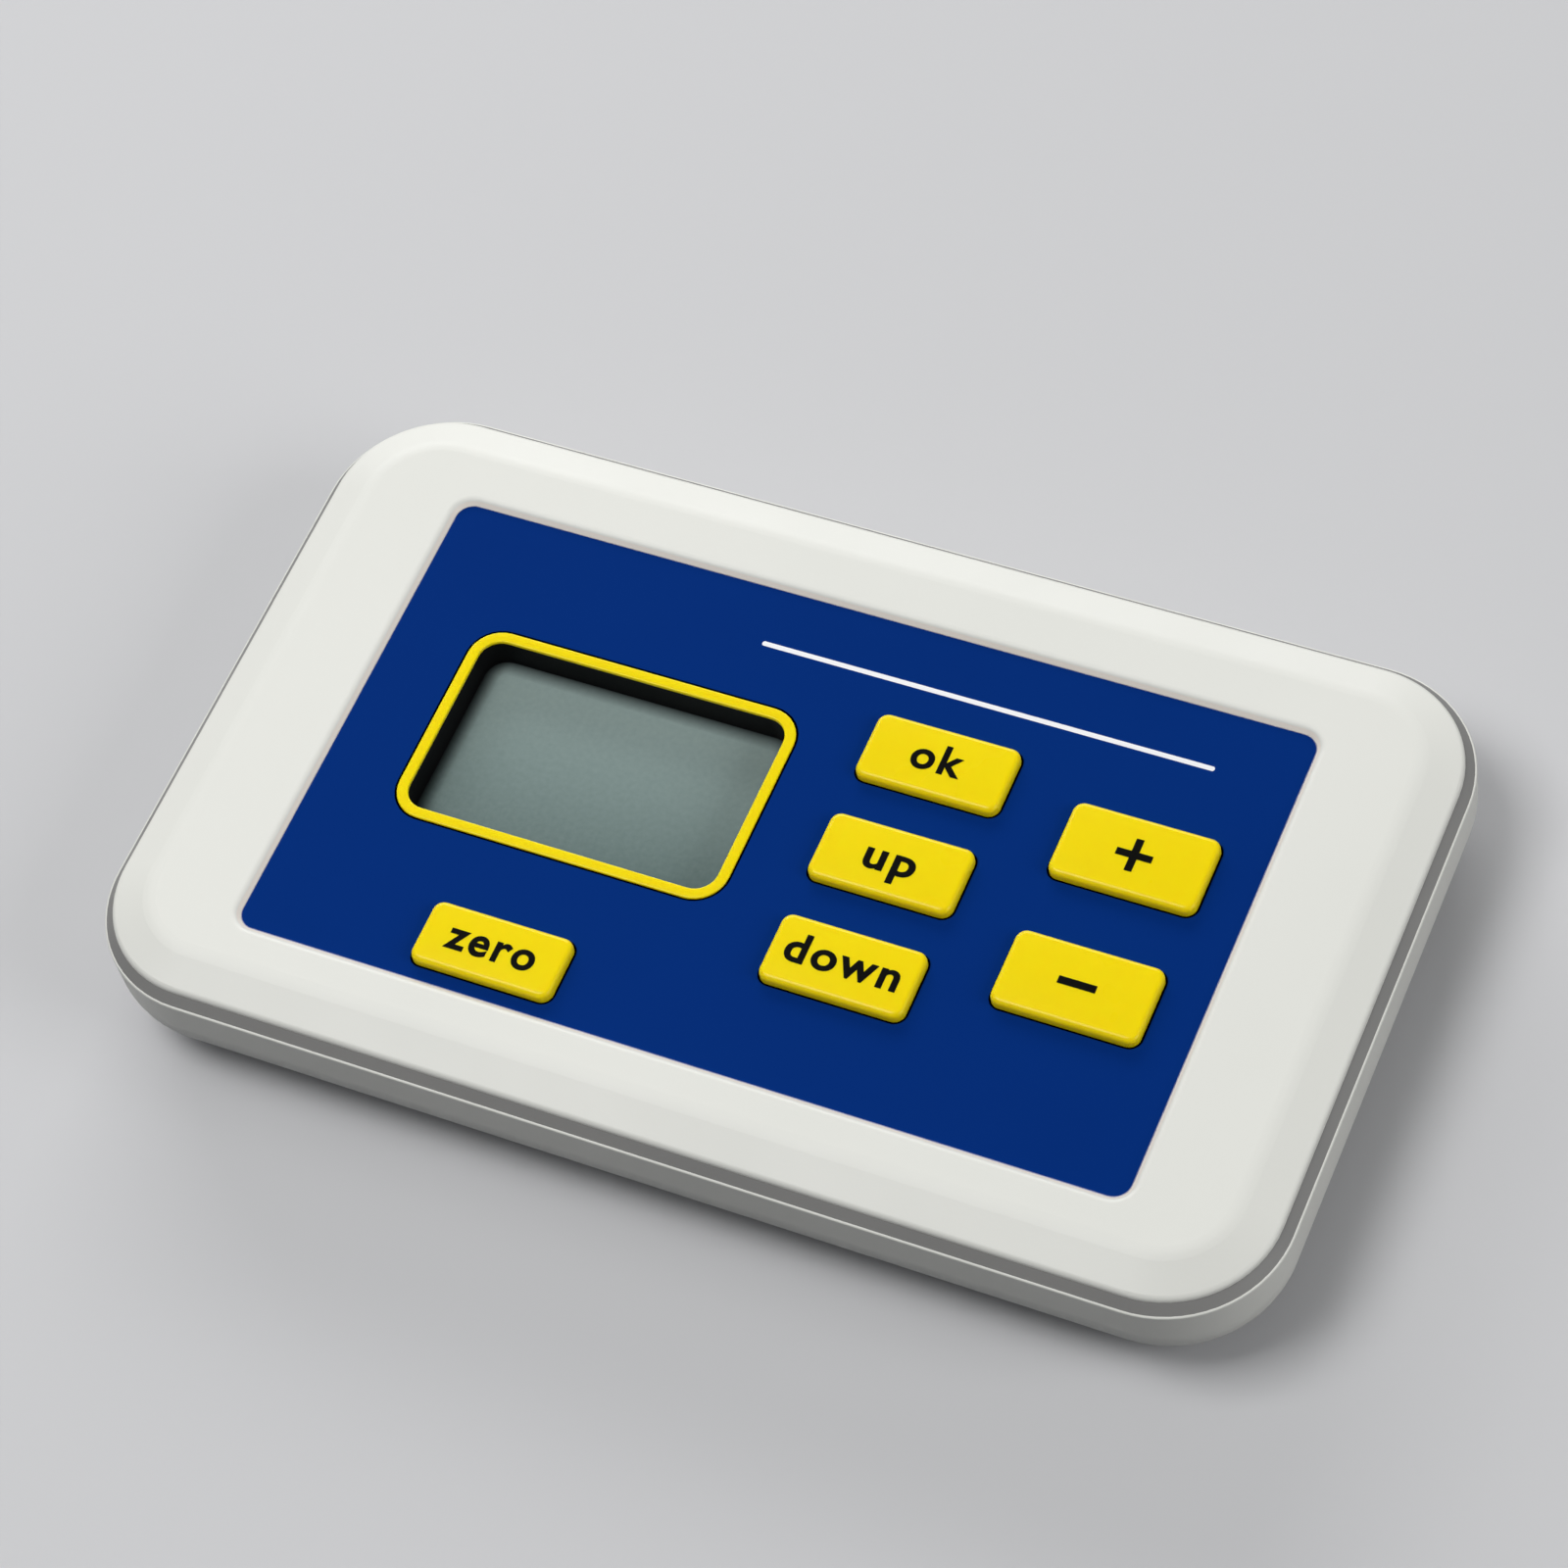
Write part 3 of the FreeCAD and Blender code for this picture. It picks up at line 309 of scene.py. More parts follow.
FINISHES = {
    "case_white": make_finish(
        "case_white", (0.80, 0.80, 0.75), (0.775, 0.777, 0.727), 25.0,
        {"Grain Scale": 2400.0, "Grain Depth": 0.12, "Smoothest": 0.4, "Roughest": 0.48},
        Specular_IOR_Level=0.38),
    # Painted light: the slope down to the film is a warmer beige than the case, standing in for light
    # bounced inside the recess
    "rim_painted_warm_light": make_finish(
        "rim_painted_warm_light", (0.83, 0.775, 0.70), (0.80, 0.745, 0.67), 25.0,
        {"Grain Scale": 2400.0, "Grain Depth": 0.12, "Smoothest": 0.36, "Roughest": 0.46}),
    "seam_grey": make_finish(
        "seam_grey", (0.265, 0.261, 0.252), (0.24, 0.237, 0.23), 60.0,
        {"Grain Scale": 3000.0, "Grain Depth": 0.2, "Smoothest": 0.5, "Roughest": 0.62}),
    "panel_blue": make_finish(
        "panel_blue", (0.0014, 0.028, 0.190), (0.0012, 0.026, 0.180), 30.0,
        {"Grain Scale": 5200.0, "Grain Depth": 0.1, "Smoothest": 0.285, "Roughest": 0.295},
        Specular_IOR_Level=0.03),
    "film_edge": make_finish(
        "film_edge", (0.42, 0.43, 0.60), (0.36, 0.37, 0.54), 400.0,
        {"Grain Scale": 4000.0, "Grain Depth": 0.1, "Smoothest": 0.25, "Roughest": 0.35}),
    # Black for the printed legends, and also painted shade in the gaps round the film's holes
    "ink_and_shade_black": make_finish(
        "ink_and_shade_black", (0.003, 0.003, 0.0025), (0.005, 0.005, 0.004), 500.0,
        {"Grain Scale": 4000.0, "Grain Depth": 0.15, "Smoothest": 0.4, "Roughest": 0.5},
        Specular_IOR_Level=0.04),
    "ink_white": make_finish(
        "ink_white", (0.93, 0.93, 0.94), (0.90, 0.90, 0.92), 500.0,
        {"Grain Scale": 4000.0, "Grain Depth": 0.15, "Smoothest": 0.4, "Roughest": 0.5}),
    "key_yellow": make_finish(
        "key_yellow", (1.0, 0.738, 0.003), (0.985, 0.718, 0.003), 90.0,
        {"Grain Scale": 3200.0, "Grain Depth": 0.03, "Smoothest": 0.27, "Roughest": 0.285},
        Specular_IOR_Level=0.2, Subsurface_Weight=0.8, Subsurface_Radius=(1.0, 0.9, 0.2),
        Subsurface_Scale=0.00045),
    "display_black": make_finish(
        "display_black", (0.002, 0.002, 0.0025), (0.004, 0.004, 0.0045), 120.0,
        {"Grain Scale": 3600.0, "Grain Depth": 0.25, "Smoothest": 0.5, "Roughest": 0.65},
        Specular_IOR_Level=0.1),
    # The screen's brighter second tone is mostly painted light, leaned in towards its back edge below
    "display_glass": make_finish(
        "display_glass", (0.130, 0.186, 0.179), (0.288, 0.368, 0.352), 1400.0,
        {"Grain Scale": 4200.0, "Grain Depth": 0.1, "Smoothest": 0.2, "Roughest": 0.28},
        Specular_IOR_Level=0.25),
    "backlight_white": make_finish(
        "backlight_white", (0.82, 0.82, 0.80), (0.78, 0.78, 0.77), 80.0,
        {"Smoothest": 0.3, "Roughest": 0.4}),
    "strip_rubber": make_finish(
        "strip_rubber", (0.10, 0.10, 0.11), (0.14, 0.10, 0.11), 900.0,
        {"Grain Depth": 0.3, "Smoothest": 0.6, "Roughest": 0.75}),
    "board_green": make_finish(
        "board_green", (0.008, 0.075, 0.025), (0.012, 0.11, 0.04), 500.0,
        {"Grain Depth": 0.1, "Smoothest": 0.25, "Roughest": 0.38}),
    "chip_black": make_finish(
        "chip_black", (0.012, 0.012, 0.013), (0.018, 0.018, 0.018), 400.0,
        {"Grain Depth": 0.3, "Smoothest": 0.55, "Roughest": 0.7}),
    "crystal_can": make_finish(
        "crystal_can", (0.62, 0.62, 0.64), (0.55, 0.55, 0.57), 500.0,
        {"Grain Depth": 0.08, "Smoothest": 0.2, "Roughest": 0.32}, Metallic=1.0),
    "switch_black": make_finish(
        "switch_black", (0.014, 0.014, 0.015), (0.020, 0.020, 0.021), 300.0,
        {"Grain Depth": 0.2, "Smoothest": 0.42, "Roughest": 0.55}),
    "socket_black": make_finish(
        "socket_black", (0.012, 0.012, 0.013), (0.018, 0.018, 0.019), 200.0,
        {"Grain Depth": 0.15, "Smoothest": 0.35, "Roughest": 0.48}),
    "cell_jacket": make_finish(
        "cell_jacket", (0.05, 0.055, 0.075), (0.04, 0.045, 0.06), 90.0,
        {"Grain Depth": 0.05, "Smoothest": 0.2, "Roughest": 0.3}, Metallic=0.6),
    "contact_nickel": make_finish(
        "contact_nickel", (0.62, 0.60, 0.54), (0.54, 0.52, 0.47), 400.0,
        {"Grain Depth": 0.08, "Smoothest": 0.2, "Roughest": 0.34}, Metallic=1.0),
    "foot_rubber": make_finish(
        "foot_rubber", (0.018, 0.018, 0.018), (0.028, 0.028, 0.027), 200.0,
        {"Grain Depth": 0.35, "Smoothest": 0.65, "Roughest": 0.8}),
    "cell_band": make_finish(
        "cell_band", (0.66, 0.36, 0.09), (0.60, 0.32, 0.08), 120.0,
        {"Grain Depth": 0.05, "Smoothest": 0.2, "Roughest": 0.3}, Metallic=0.8),
    "screw_steel": make_finish(
        "screw_steel", (0.45, 0.45, 0.46), (0.36, 0.36, 0.37), 700.0,
        {"Grain Depth": 0.1, "Smoothest": 0.25, "Roughest": 0.4}, Metallic=1.0),
}


# Screen: the span over which painted light lifts its tone towards the back, its middle and the straight
# part of its sides, in metres
SCREEN_LIGHT_SPAN = (-0.0095, 0.0115)
SCREEN_DRIFT = 0.16
SCREEN_MIDDLE = (-0.0246, 0.0011, 0.0)
SCREEN_STRAIGHT = (0.0177, 0.00975, 1.0)
# Painted shade: the span and near-black tone that darken the screen's border beside the walls round it
SCREEN_SHADE_SPAN = (0.0009, 0.003)
SCREEN_SHADE_TONE = (0.006, 0.008, 0.009)


def add_vector_step(tree, operation, vector, *values):
    """One step of vector arithmetic on a socket."""
    step = tree.nodes.new("ShaderNodeVectorMath")
    step.operation = operation
    tree.links.new(vector, step.inputs[0])
    for value, socket in zip(values, step.inputs[1:]):
        socket.default_value = value
    return step.outputs["Value" if operation == "LENGTH" else "Vector"]


def paint_screen_light_and_shade(material):
    """Paint light on the screen, lifting its tone towards its back edge, and paint shade that fades in
    along its border beside the black walls.
    """
    tree = material.node_tree
    tone = tree.nodes["tone_drift"]
    tone.inputs["Drift"].default_value = SCREEN_DRIFT
    depth = add_axis(tree, "Object", "Y")
    tree.links.new(add_map(tree, depth, SCREEN_LIGHT_SPAN, 0.0, 1.0 - SCREEN_DRIFT), tone.inputs["Lean"])
    place = tree.nodes.new("ShaderNodeTexCoord").outputs["Object"]
    offset = add_vector_step(tree, "SUBTRACT", place, SCREEN_MIDDLE)
    reach = add_vector_step(tree, "SUBTRACT", add_vector_step(tree, "ABSOLUTE", offset), SCREEN_STRAIGHT)
    outside = add_vector_step(tree, "LENGTH", add_vector_step(tree, "MAXIMUM", reach, BLACK))
    border = add_map(tree, outside, SCREEN_SHADE_SPAN, 0.0, 1.0)
    shaded = add_blend(tree, border, tone.outputs["Color"], SCREEN_SHADE_TONE)
    tree.links.new(shaded, tree.nodes["Principled BSDF"].inputs["Base Color"])


paint_screen_light_and_shade(FINISHES["display_glass"])


def dress_solids():
    """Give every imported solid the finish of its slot."""
    for row in frame["record"]["subparts"]:
        solid = frame["nodes"][row["node"]]
        for slot in solid.material_slots:
            slot.material = FINISHES[row["material_slot"]]


# Keys
KEY_FLANGE = 0.8
KEY_CORNER = 1.4
KEY_EDGE = 0.7
KEY_EDGE_STEPS = 5
KEY_WALL = 1.2
KEY_ROOF = 1.1
KEY_STEM = 2.0
STEM_SIDES = 24
INK_THICKNESS = 0.03
INK_SUNK = 0.01
LETTER_EM = 5.5
LETTER_STROKE = 0.14
LETTER_SPACING = 1.14
LETTER_MIDDLE = 0.273
LETTER_STEPS = 6
WORD_WIDTHS = {"ok": 6.6, "up": 6.5, "down": 14.4, "zero": 11.5}
PLUS_SPAN = 4.5
PLUS_STROKE = 0.95
MINUS_SIZE = (4.7, 1.0)
INK_CORNER = 0.06
KEY_NAMES = (*WORD_WIDTHS, "plus", "minus")


def make_key_cap(name):
    """A hollow cap with a flange under the deck, a soft top edge and a stem down to its switch."""
    node = f"key_{name}"
    low, high = corners_of(node)
    size, middle = spread_of(node)
    mesh = bmesh.new()
    skirt = lay_plate(mesh, size, KEY_CORNER + KEY_FLANGE, low.z, middle)
    top = raise_face(mesh, skirt, KEY_FLANGE)
    shrink_face(mesh, top, KEY_FLANGE)
    top = raise_face(mesh, top, high.z - low.z - KEY_FLANGE)
    shrink_face(mesh, skirt, KEY_FLANGE + KEY_WALL)
    raise_face(mesh, skirt, high.z - KEY_ROOF - low.z)
    soften(mesh, top.edges, KEY_EDGE, KEY_EDGE_STEPS)
    add_stem(mesh, name, middle, high.z - KEY_ROOF / 2)
    add_piece(f"{node}_cap", mesh, [FINISHES["key_yellow"]], node, "key_yellow", node)


def add_stem(mesh, name, middle, top):
    bottom = corners_of(f"plunger_{name}")[1].z
    place = Matrix.Translation((*middle, (top + bottom) / 2))
    bmesh.ops.create_cone(mesh, cap_ends=True, segments=STEM_SIDES, radius1=KEY_STEM,
                          radius2=KEY_STEM, depth=top - bottom, matrix=place)


def draw_word(word, width, centre):
    """A word as a thin sheet of ink, centred on a point of the surface that it is printed on.

    The font is made bolder by a bevel round each letter, and the whole is then pressed flat.
    """
    lettering = bpy.data.curves.new("lettering", "FONT")
    lettering.body = word
    lettering.size = LETTER_EM
    lettering.bevel_depth = LETTER_STROKE
    lettering.bevel_resolution = 0
    lettering.space_character = LETTER_SPACING
    lettering.resolution_u = LETTER_STEPS
    holder = bpy.data.objects.new("lettering", lettering)
    scene.collection.objects.link(holder)
    drawn = holder.evaluated_get(bpy.context.evaluated_depsgraph_get())
    sheet = bpy.data.meshes.new_from_object(drawn)
    mesh = bmesh.new()
    mesh.from_mesh(sheet)
    bpy.data.objects.remove(holder)
    bpy.data.meshes.remove(sheet)
    left = min(vert.co.x for vert in mesh.verts)
    right = max(vert.co.x for vert in mesh.verts)
    middle = Vector(((left + right) / 2, LETTER_MIDDLE * LETTER_EM, 0.0))
    bmesh.ops.translate(mesh, vec=-middle, verts=mesh.verts)
    flatten = INK_THICKNESS / (2 * LETTER_STROKE)
    bmesh.ops.scale(mesh, vec=(width / (right - left), 1.0, flatten), verts=mesh.verts)
    rise = Vector((0.0, 0.0, INK_THICKNESS / 2 - INK_SUNK))
    bmesh.ops.translate(mesh, vec=Vector(centre) + rise, verts=mesh.verts)
    return mesh


def draw_minus(centre):
    mesh = bmesh.new()
    bar = lay_plate(mesh, MINUS_SIZE, INK_CORNER, centre[2] - INK_SUNK, centre[:2])
    raise_face(mesh, bar, INK_THICKNESS)
    return mesh


def draw_plus(centre):
    """A cross drawn out from its middle square."""
    mesh = bmesh.new()
    middle = Vector(centre) - Vector((0.0, 0.0, INK_SUNK))
    bmesh.ops.create_grid(mesh, x_segments=1, y_segments=1, size=PLUS_STROKE / 2,
                          matrix=Matrix.Translation(middle))
    for edge in list(mesh.edges):
        outward = (edge.verts[0].co + edge.verts[1].co) / 2 - middle
        arm = bmesh.ops.extrude_edge_only(mesh, edges=[edge])["geom"]
        tips = [item for item in arm if isinstance(item, bmesh.types.BMVert)]
        reach = outward.normalized() * (PLUS_SPAN - PLUS_STROKE) / 2
        bmesh.ops.translate(mesh, vec=reach, verts=tips)
    drawn = bmesh.ops.extrude_face_region(mesh, geom=list(mesh.faces))["geom"]
    upper = [item for item in drawn if isinstance(item, bmesh.types.BMVert)]
    bmesh.ops.translate(mesh, vec=(0.0, 0.0, INK_THICKNESS), verts=upper)
    return mesh


def print_legend(name):
    high = corners_of(f"key_{name}")[1]
    centre = (*spread_of(f"key_{name}")[1], high.z)
    if name in WORD_WIDTHS:
        mesh = draw_word(name, WORD_WIDTHS[name], centre)
    else:
        mesh = draw_plus(centre) if name == "plus" else draw_minus(centre)
    add_piece(f"legend_{name}", mesh, [FINISHES["ink_and_shade_black"]], f"key_{name}", "display_black")


# Printed film on the sunk deck, and the slope that leads down to it
FILM_CORNER = 2.25
FILM_EDGE = 0.1
HOLE_GAP = 0.06
# Painted shade: a black ring round each hole of the film, and its black hole wall, stand in for the shade
# in the gap round the frame and keys
GAP_SHADE_WIDTH = 0.22
CUT_FINISH = 1
GAP_SHADE_FINISH = 2
FRAME_CORNER = 4.2
FILM_GAP = 0.15
RIM_ROUND = 1.0
RIM_SLOPE = math.radians(44)
RIM_TIP = 0.01
RIM_FOOT = ((-0.03, -0.3), (-0.3, -0.25))
RULE_LENGTH = 58.5
RULE_THICKNESS = 0.65
RULE_CORNER = RULE_THICKNESS * 0.45
RULE_MIDDLE = (17.05, 23.4)


def film_holes():
    """Each hole of the film, as size, corner and middle."""
    size, middle = spread_of("display_bezel")
    holes = [((size[0] + 2 * HOLE_GAP, size[1] + 2 * HOLE_GAP), FRAME_CORNER + HOLE_GAP, middle)]
    for name in KEY_NAMES:
        size, middle = spread_of(f"key_{name}")
        spare = 2 * (HOLE_GAP - KEY_FLANGE)
        holes.append(((size[0] + spare, size[1] + spare), KEY_CORNER + HOLE_GAP, middle))
    return holes


def make_film():
    """A printed sheet whose holes for the frame and keys are ringed and lined in black, as painted shade of
    the gaps round them; its cut edge shows the clear base.
    """
    low, high = corners_of("panel_overlay")
    size, middle = spread_of("panel_overlay")
    mesh = bmesh.new()
    face_size = (size[0] - 2 * FILM_EDGE, size[1] - 2 * FILM_EDGE)
    face_loop = lay_loop(mesh, face_size, FILM_CORNER - FILM_EDGE, high.z, middle)
    shoulder = lay_loop(mesh, size, FILM_CORNER, high.z - FILM_EDGE, middle)
    base_loop = lay_loop(mesh, size, FILM_CORNER, low.z, middle)
    cut_faces = bmesh.ops.bridge_loops(mesh, edges=face_loop + shoulder)["faces"]
    cut_faces += bmesh.ops.bridge_loops(mesh, edges=shoulder + base_loop)["faces"]
    top_edges = list(face_loop)
    base_edges = list(base_loop)
    gap_shade_faces = []
    for hole_size, corner, hole_middle in film_holes():
        shade_ring_size = (hole_size[0] + 2 * GAP_SHADE_WIDTH, hole_size[1] + 2 * GAP_SHADE_WIDTH)
        cover = lay_plate(mesh, shade_ring_size, corner + GAP_SHADE_WIDTH, high.z, hole_middle)
        top_edges += cover.edges
        gap_shade_faces += shrink_face(mesh, cover, GAP_SHADE_WIDTH)
        upper = list(cover.edges)
        bmesh.ops.delete(mesh, geom=[cover], context="FACES_ONLY")
        lower = lay_loop(mesh, hole_size, corner, low.z, hole_middle)
        gap_shade_faces += bmesh.ops.bridge_loops(mesh, edges=upper + lower)["faces"]
        base_edges += lower
    bmesh.ops.triangle_fill(mesh, use_beauty=True, edges=top_edges)
    bmesh.ops.triangle_fill(mesh, use_beauty=True, edges=base_edges)
    for face in cut_faces:
        face.material_index = CUT_FINISH
    for face in gap_shade_faces:
        face.material_index = GAP_SHADE_FINISH
    finishes = [FINISHES["panel_blue"], FINISHES["film_edge"], FINISHES["ink_and_shade_black"]]
    add_piece("panel_film", mesh, finishes, "case", "panel_blue", "panel_overlay")


def make_recess_rim():
    """A slope from the recess's rounded edge down to the film; it starts where the rounding is as steep."""
    film_top = corners_of("panel_overlay")[1].z
    case_top = corners_of("upper_case")[1].z
    size, middle = spread_of("panel_overlay")
    start = FILM_GAP + RIM_ROUND * (1 - math.sin(RIM_SLOPE))
    height = case_top - RIM_ROUND * (1 - math.cos(RIM_SLOPE))
    fall = (start - RIM_TIP) * math.tan(RIM_SLOPE)
    profile = [(-start, height), (-RIM_TIP, height - fall)]
    profile += [(inset, film_top + drop) for inset, drop in RIM_FOOT]
    mesh = bmesh.new()
    run_profile(mesh, size, FILM_CORNER, middle, profile)
    # The slope's warm tint is painted bounce light
    add_piece("recess_rim", mesh, [FINISHES["rim_painted_warm_light"]], "case", "case_white")


def print_rule():
    high = corners_of("panel_overlay")[1]
    mesh = bmesh.new()
    size = (RULE_LENGTH, RULE_THICKNESS)
    sheet = lay_plate(mesh, size, RULE_CORNER, high.z - INK_SUNK, RULE_MIDDLE)
    raise_face(mesh, sheet, INK_THICKNESS)
    add_piece("panel_rule", mesh, [FINISHES["ink_white"]], "case", "case_white")


# Display
FRAME_WIDTH = 1.4
FRAME_LIP = 0.5
FRAME_SEAT = 0.8
FRAME_ROUND = 0.16
FRAME_CROWN = 0.03
ROUND_STEPS = 4
GLASS_STEP = 1.0
GLASS_LEDGE = 1.6
GLASS_CORNER = 0.3
GLASS_EDGE = 0.1
POLARISER_THICKNESS = 0.2
POLARISER_MARGIN = 0.8
POLARISER_CORNER = 0.5
POLARISER_EDGE = 0.06


def quarter_round(inset, height, radius, turn):
    """Points of a quarter circle, as inset and height; turn is 1 at the outer edge and -1 at the inner."""
    points = []
    for step in range(ROUND_STEPS + 1):
        angle = math.pi / 2 * step / ROUND_STEPS
        points.append((inset + turn * radius * (1 - math.cos(angle)), height + radius * math.sin(angle)))
    return points if turn > 0 else points[::-1]


def make_display_frame():
    """A flat yellow frame with soft edges, lipped over the black wall round the glass."""
    low, high = corners_of("display_bezel")
    size, middle = spread_of("display_bezel")
    shoulder = high.z - FRAME_CROWN - FRAME_ROUND
    lip = high.z - FRAME_LIP
    profile = [(0.0, low.z)]
    profile += quarter_round(0.0, shoulder, FRAME_ROUND, 1)
    profile.append((FRAME_WIDTH / 2, high.z))
    profile += quarter_round(FRAME_WIDTH, shoulder, FRAME_ROUND, -1)
    profile += [(FRAME_WIDTH, lip), (FRAME_SEAT, lip + FRAME_CROWN), (FRAME_SEAT, low.z + FRAME_CROWN)]
    mesh = bmesh.new()
    run_profile(mesh, size, FRAME_CORNER, middle, profile)
    add_piece("display_frame", mesh, [FINISHES["key_yellow"]], "case", "key_yellow", "display_bezel")


def make_lcd():
    """Two glass plates with a polariser sheet on top."""
    low, high = corners_of("lcd_glass")
    size, middle = spread_of("lcd_glass")
    mesh = bmesh.new()
    ledge = (size[0], size[1] - 2 * GLASS_LEDGE)
    for plate_size, bottom, top in (
            (ledge, low.z, low.z + GLASS_STEP),
            (size, low.z + GLASS_STEP, high.z - POLARISER_THICKNESS)):
        plate = lay_plate(mesh, plate_size, GLASS_CORNER, bottom, middle)
        soften(mesh, raise_face(mesh, plate, top - bottom).edges, GLASS_EDGE, FINE_STEPS)
    sheet_size = (size[0] - 2 * POLARISER_MARGIN, size[1] - 2 * POLARISER_MARGIN)
    sheet = lay_plate(mesh, sheet_size, POLARISER_CORNER, high.z - POLARISER_THICKNESS, middle)
    soften(mesh, raise_face(mesh, sheet, POLARISER_THICKNESS).edges, POLARISER_EDGE, FINE_STEPS)
    add_piece("lcd_screen", mesh, [FINISHES["display_glass"]], "case", "display_glass", "lcd_glass")


# Feet, switch slider and socket; turned profiles are radius and reach
FOOT_NAMES = ("foot_front_left", "foot_front_right", "foot_rear_left", "foot_rear_right")
FOOT_PROFILE = (
    (0.0, 1.9), (4.8, 1.9), (5.0, 1.7), (5.0, 0.65), (4.94, 0.38), (4.76, 0.17), (4.5, 0.04),
    (4.25, 0.0), (3.75, 0.0), (3.5, 0.05), (3.3, 0.18), (3.1, 0.34), (2.8, 0.4), (0.95, 0.4),
    (0.8, 0.3), (0.0, 0.26))
SLIDER_CORNER = 0.3
SLIDER_EDGE = 0.2
SLIDER_EDGE_STEPS = 3
RIDGE_COUNT = 3
RIDGE_PITCH = 0.8
RIDGE_SIZE = (0.4, 1.5)
RIDGE_CORNER = RIDGE_SIZE[0] / 3
RIDGE_EDGE = RIDGE_SIZE[0] / 4
RIDGE_HEIGHT = 0.3
BUSH_PROFILE = (
    (1.85, -1.2), (1.85, -0.05), (1.9, 0.05), (2.0, 0.1), (2.25, 0.1), (2.36, 0.05), (2.4, -0.05),
    (2.4, -1.2), (1.85, -1.2))


def make_feet():
    """Rubber feet with a soft lower edge, a dished sole and the nub of the moulding gate."""
    for node in FOOT_NAMES:
        low = corners_of(node)[0]
        middle = spread_of(node)[1]
        mesh = bmesh.new()
        turn_profile(mesh, FOOT_PROFILE, (*middle, low.z), (0, 0, 1), (1, 0, 0))
        add_piece(f"{node}_pad", mesh, [FINISHES["foot_rubber"]], "case", "foot_rubber", node)


def make_slider():
    """The switch's thumb piece, ridged on its end; it is drawn upright and laid over to point backward."""
    low, high = corners_of("power_slider")
    size = (high.x - low.x, high.z - low.z)
    reach = high.y - low.y
    mesh = bmesh.new()
    block = lay_plate(mesh, size, SLIDER_CORNER, 0.0, (0.0, 0.0))
    end = raise_face(mesh, block, reach - RIDGE_HEIGHT)
    soften(mesh, end.edges, SLIDER_EDGE, SLIDER_EDGE_STEPS)
    for ridge in range(RIDGE_COUNT):
        across = (ridge - (RIDGE_COUNT - 1) / 2) * RIDGE_PITCH
        foot = lay_plate(mesh, RIDGE_SIZE, RIDGE_CORNER, reach - 2 * RIDGE_HEIGHT, (across, 0.0))
        crest = raise_face(mesh, foot, 2 * RIDGE_HEIGHT)
        soften(mesh, crest.edges, RIDGE_EDGE, FINE_STEPS)
    laid_over = Matrix.Rotation(-math.pi / 2, 3, "X")
    bmesh.ops.rotate(mesh, cent=(0.0, 0.0, 0.0), matrix=laid_over, verts=mesh.verts)
    place = Vector(((low.x + high.x) / 2, low.y, (low.z + high.z) / 2))
    bmesh.ops.translate(mesh, vec=place, verts=mesh.verts)
    finishes = [FINISHES["socket_black"]]
    add_piece("power_thumb", mesh, finishes, "power_slider", "socket_black", "power_slider")


def make_socket_bush():
    """A plated ring round the mouth of the probe socket."""
    low, high = corners_of("probe_socket")
    mesh = bmesh.new()
    mouth = ((low.x + high.x) / 2, high.y, (low.z + high.z) / 2)
    turn_profile(mesh, BUSH_PROFILE, mouth, (0, 1, 0), (1, 0, 0))
    add_piece("probe_bush", mesh, [FINISHES["contact_nickel"]], "case", "contact_nickel")


# Cells
JACKET_PROFILE = ((4.3, 0.12), (4.75, 0.0), (5.1, 0.1), (5.25, 0.35), (5.25, 31.0))
BAND_PROFILE = ((5.25, 31.0), (5.25, 42.95), (5.1, 43.2), (4.75, 43.3), (4.3, 43.15))
FLAT_END_PROFILE = ((4.3, 0.12), (4.0, 0.05), (0.0, 0.02))
NUB_END_PROFILE = (
    (4.3, 43.15), (2.6, 43.1), (2.2, 43.3), (1.9, 43.3), (1.9, 44.25), (1.78, 44.43), (1.5, 44.5),
    (0.0, 44.5))
CELL_PROFILES = ((JACKET_PROFILE, 0), (BAND_PROFILE, 1), (FLAT_END_PROFILE, 2), (NUB_END_PROFILE, 2))


def make_cells():
    """Cells with a printed jacket, a bright band and plated ends, laid end for end."""
    for node, start, along in (("cell_front", 0, 1), ("cell_rear", 1, -1)):
        ends = corners_of(node)
        middle = (ends[0] + ends[1]) / 2
        centre = (ends[start].x, middle.y, middle.z)
        mesh = bmesh.new()
        for profile, finish in CELL_PROFILES:
            turn_profile(mesh, profile, centre, (along, 0, 0), (0, 0, 1), finish)
        finishes = [FINISHES["cell_jacket"], FINISHES["cell_band"], FINISHES["contact_nickel"]]
        add_piece(f"{node}_can", mesh, finishes, "case", "cell_jacket", node)


def make_pieces():
    for name in KEY_NAMES:
        make_key_cap(name)
        print_legend(name)
    make_film()
    make_recess_rim()
    print_rule()
    make_display_frame()
    make_lcd()
    make_feet()
    make_slider()
    make_socket_bush()
    make_cells()


# Floor, light and camera
FLOOR_REACH = 3.0
FLOOR_CELLS = 8
FLOOR_ROUGHNESS = 0.9
FLOOR_SEEN = (0.62, 0.62, 0.63)
FLOOR_BOUNCE = (0.10, 0.10, 0.11)
FLOOR_FADE = (0.2, 0.65)
HORIZON = (0.58, 0.58, 0.59)
CEILING = (0.04, 0.04, 0.045)
CEILING_SPAN = (0.0, 0.45)
WORLD_LIGHT = (0.141, 0.1455, 0.15)
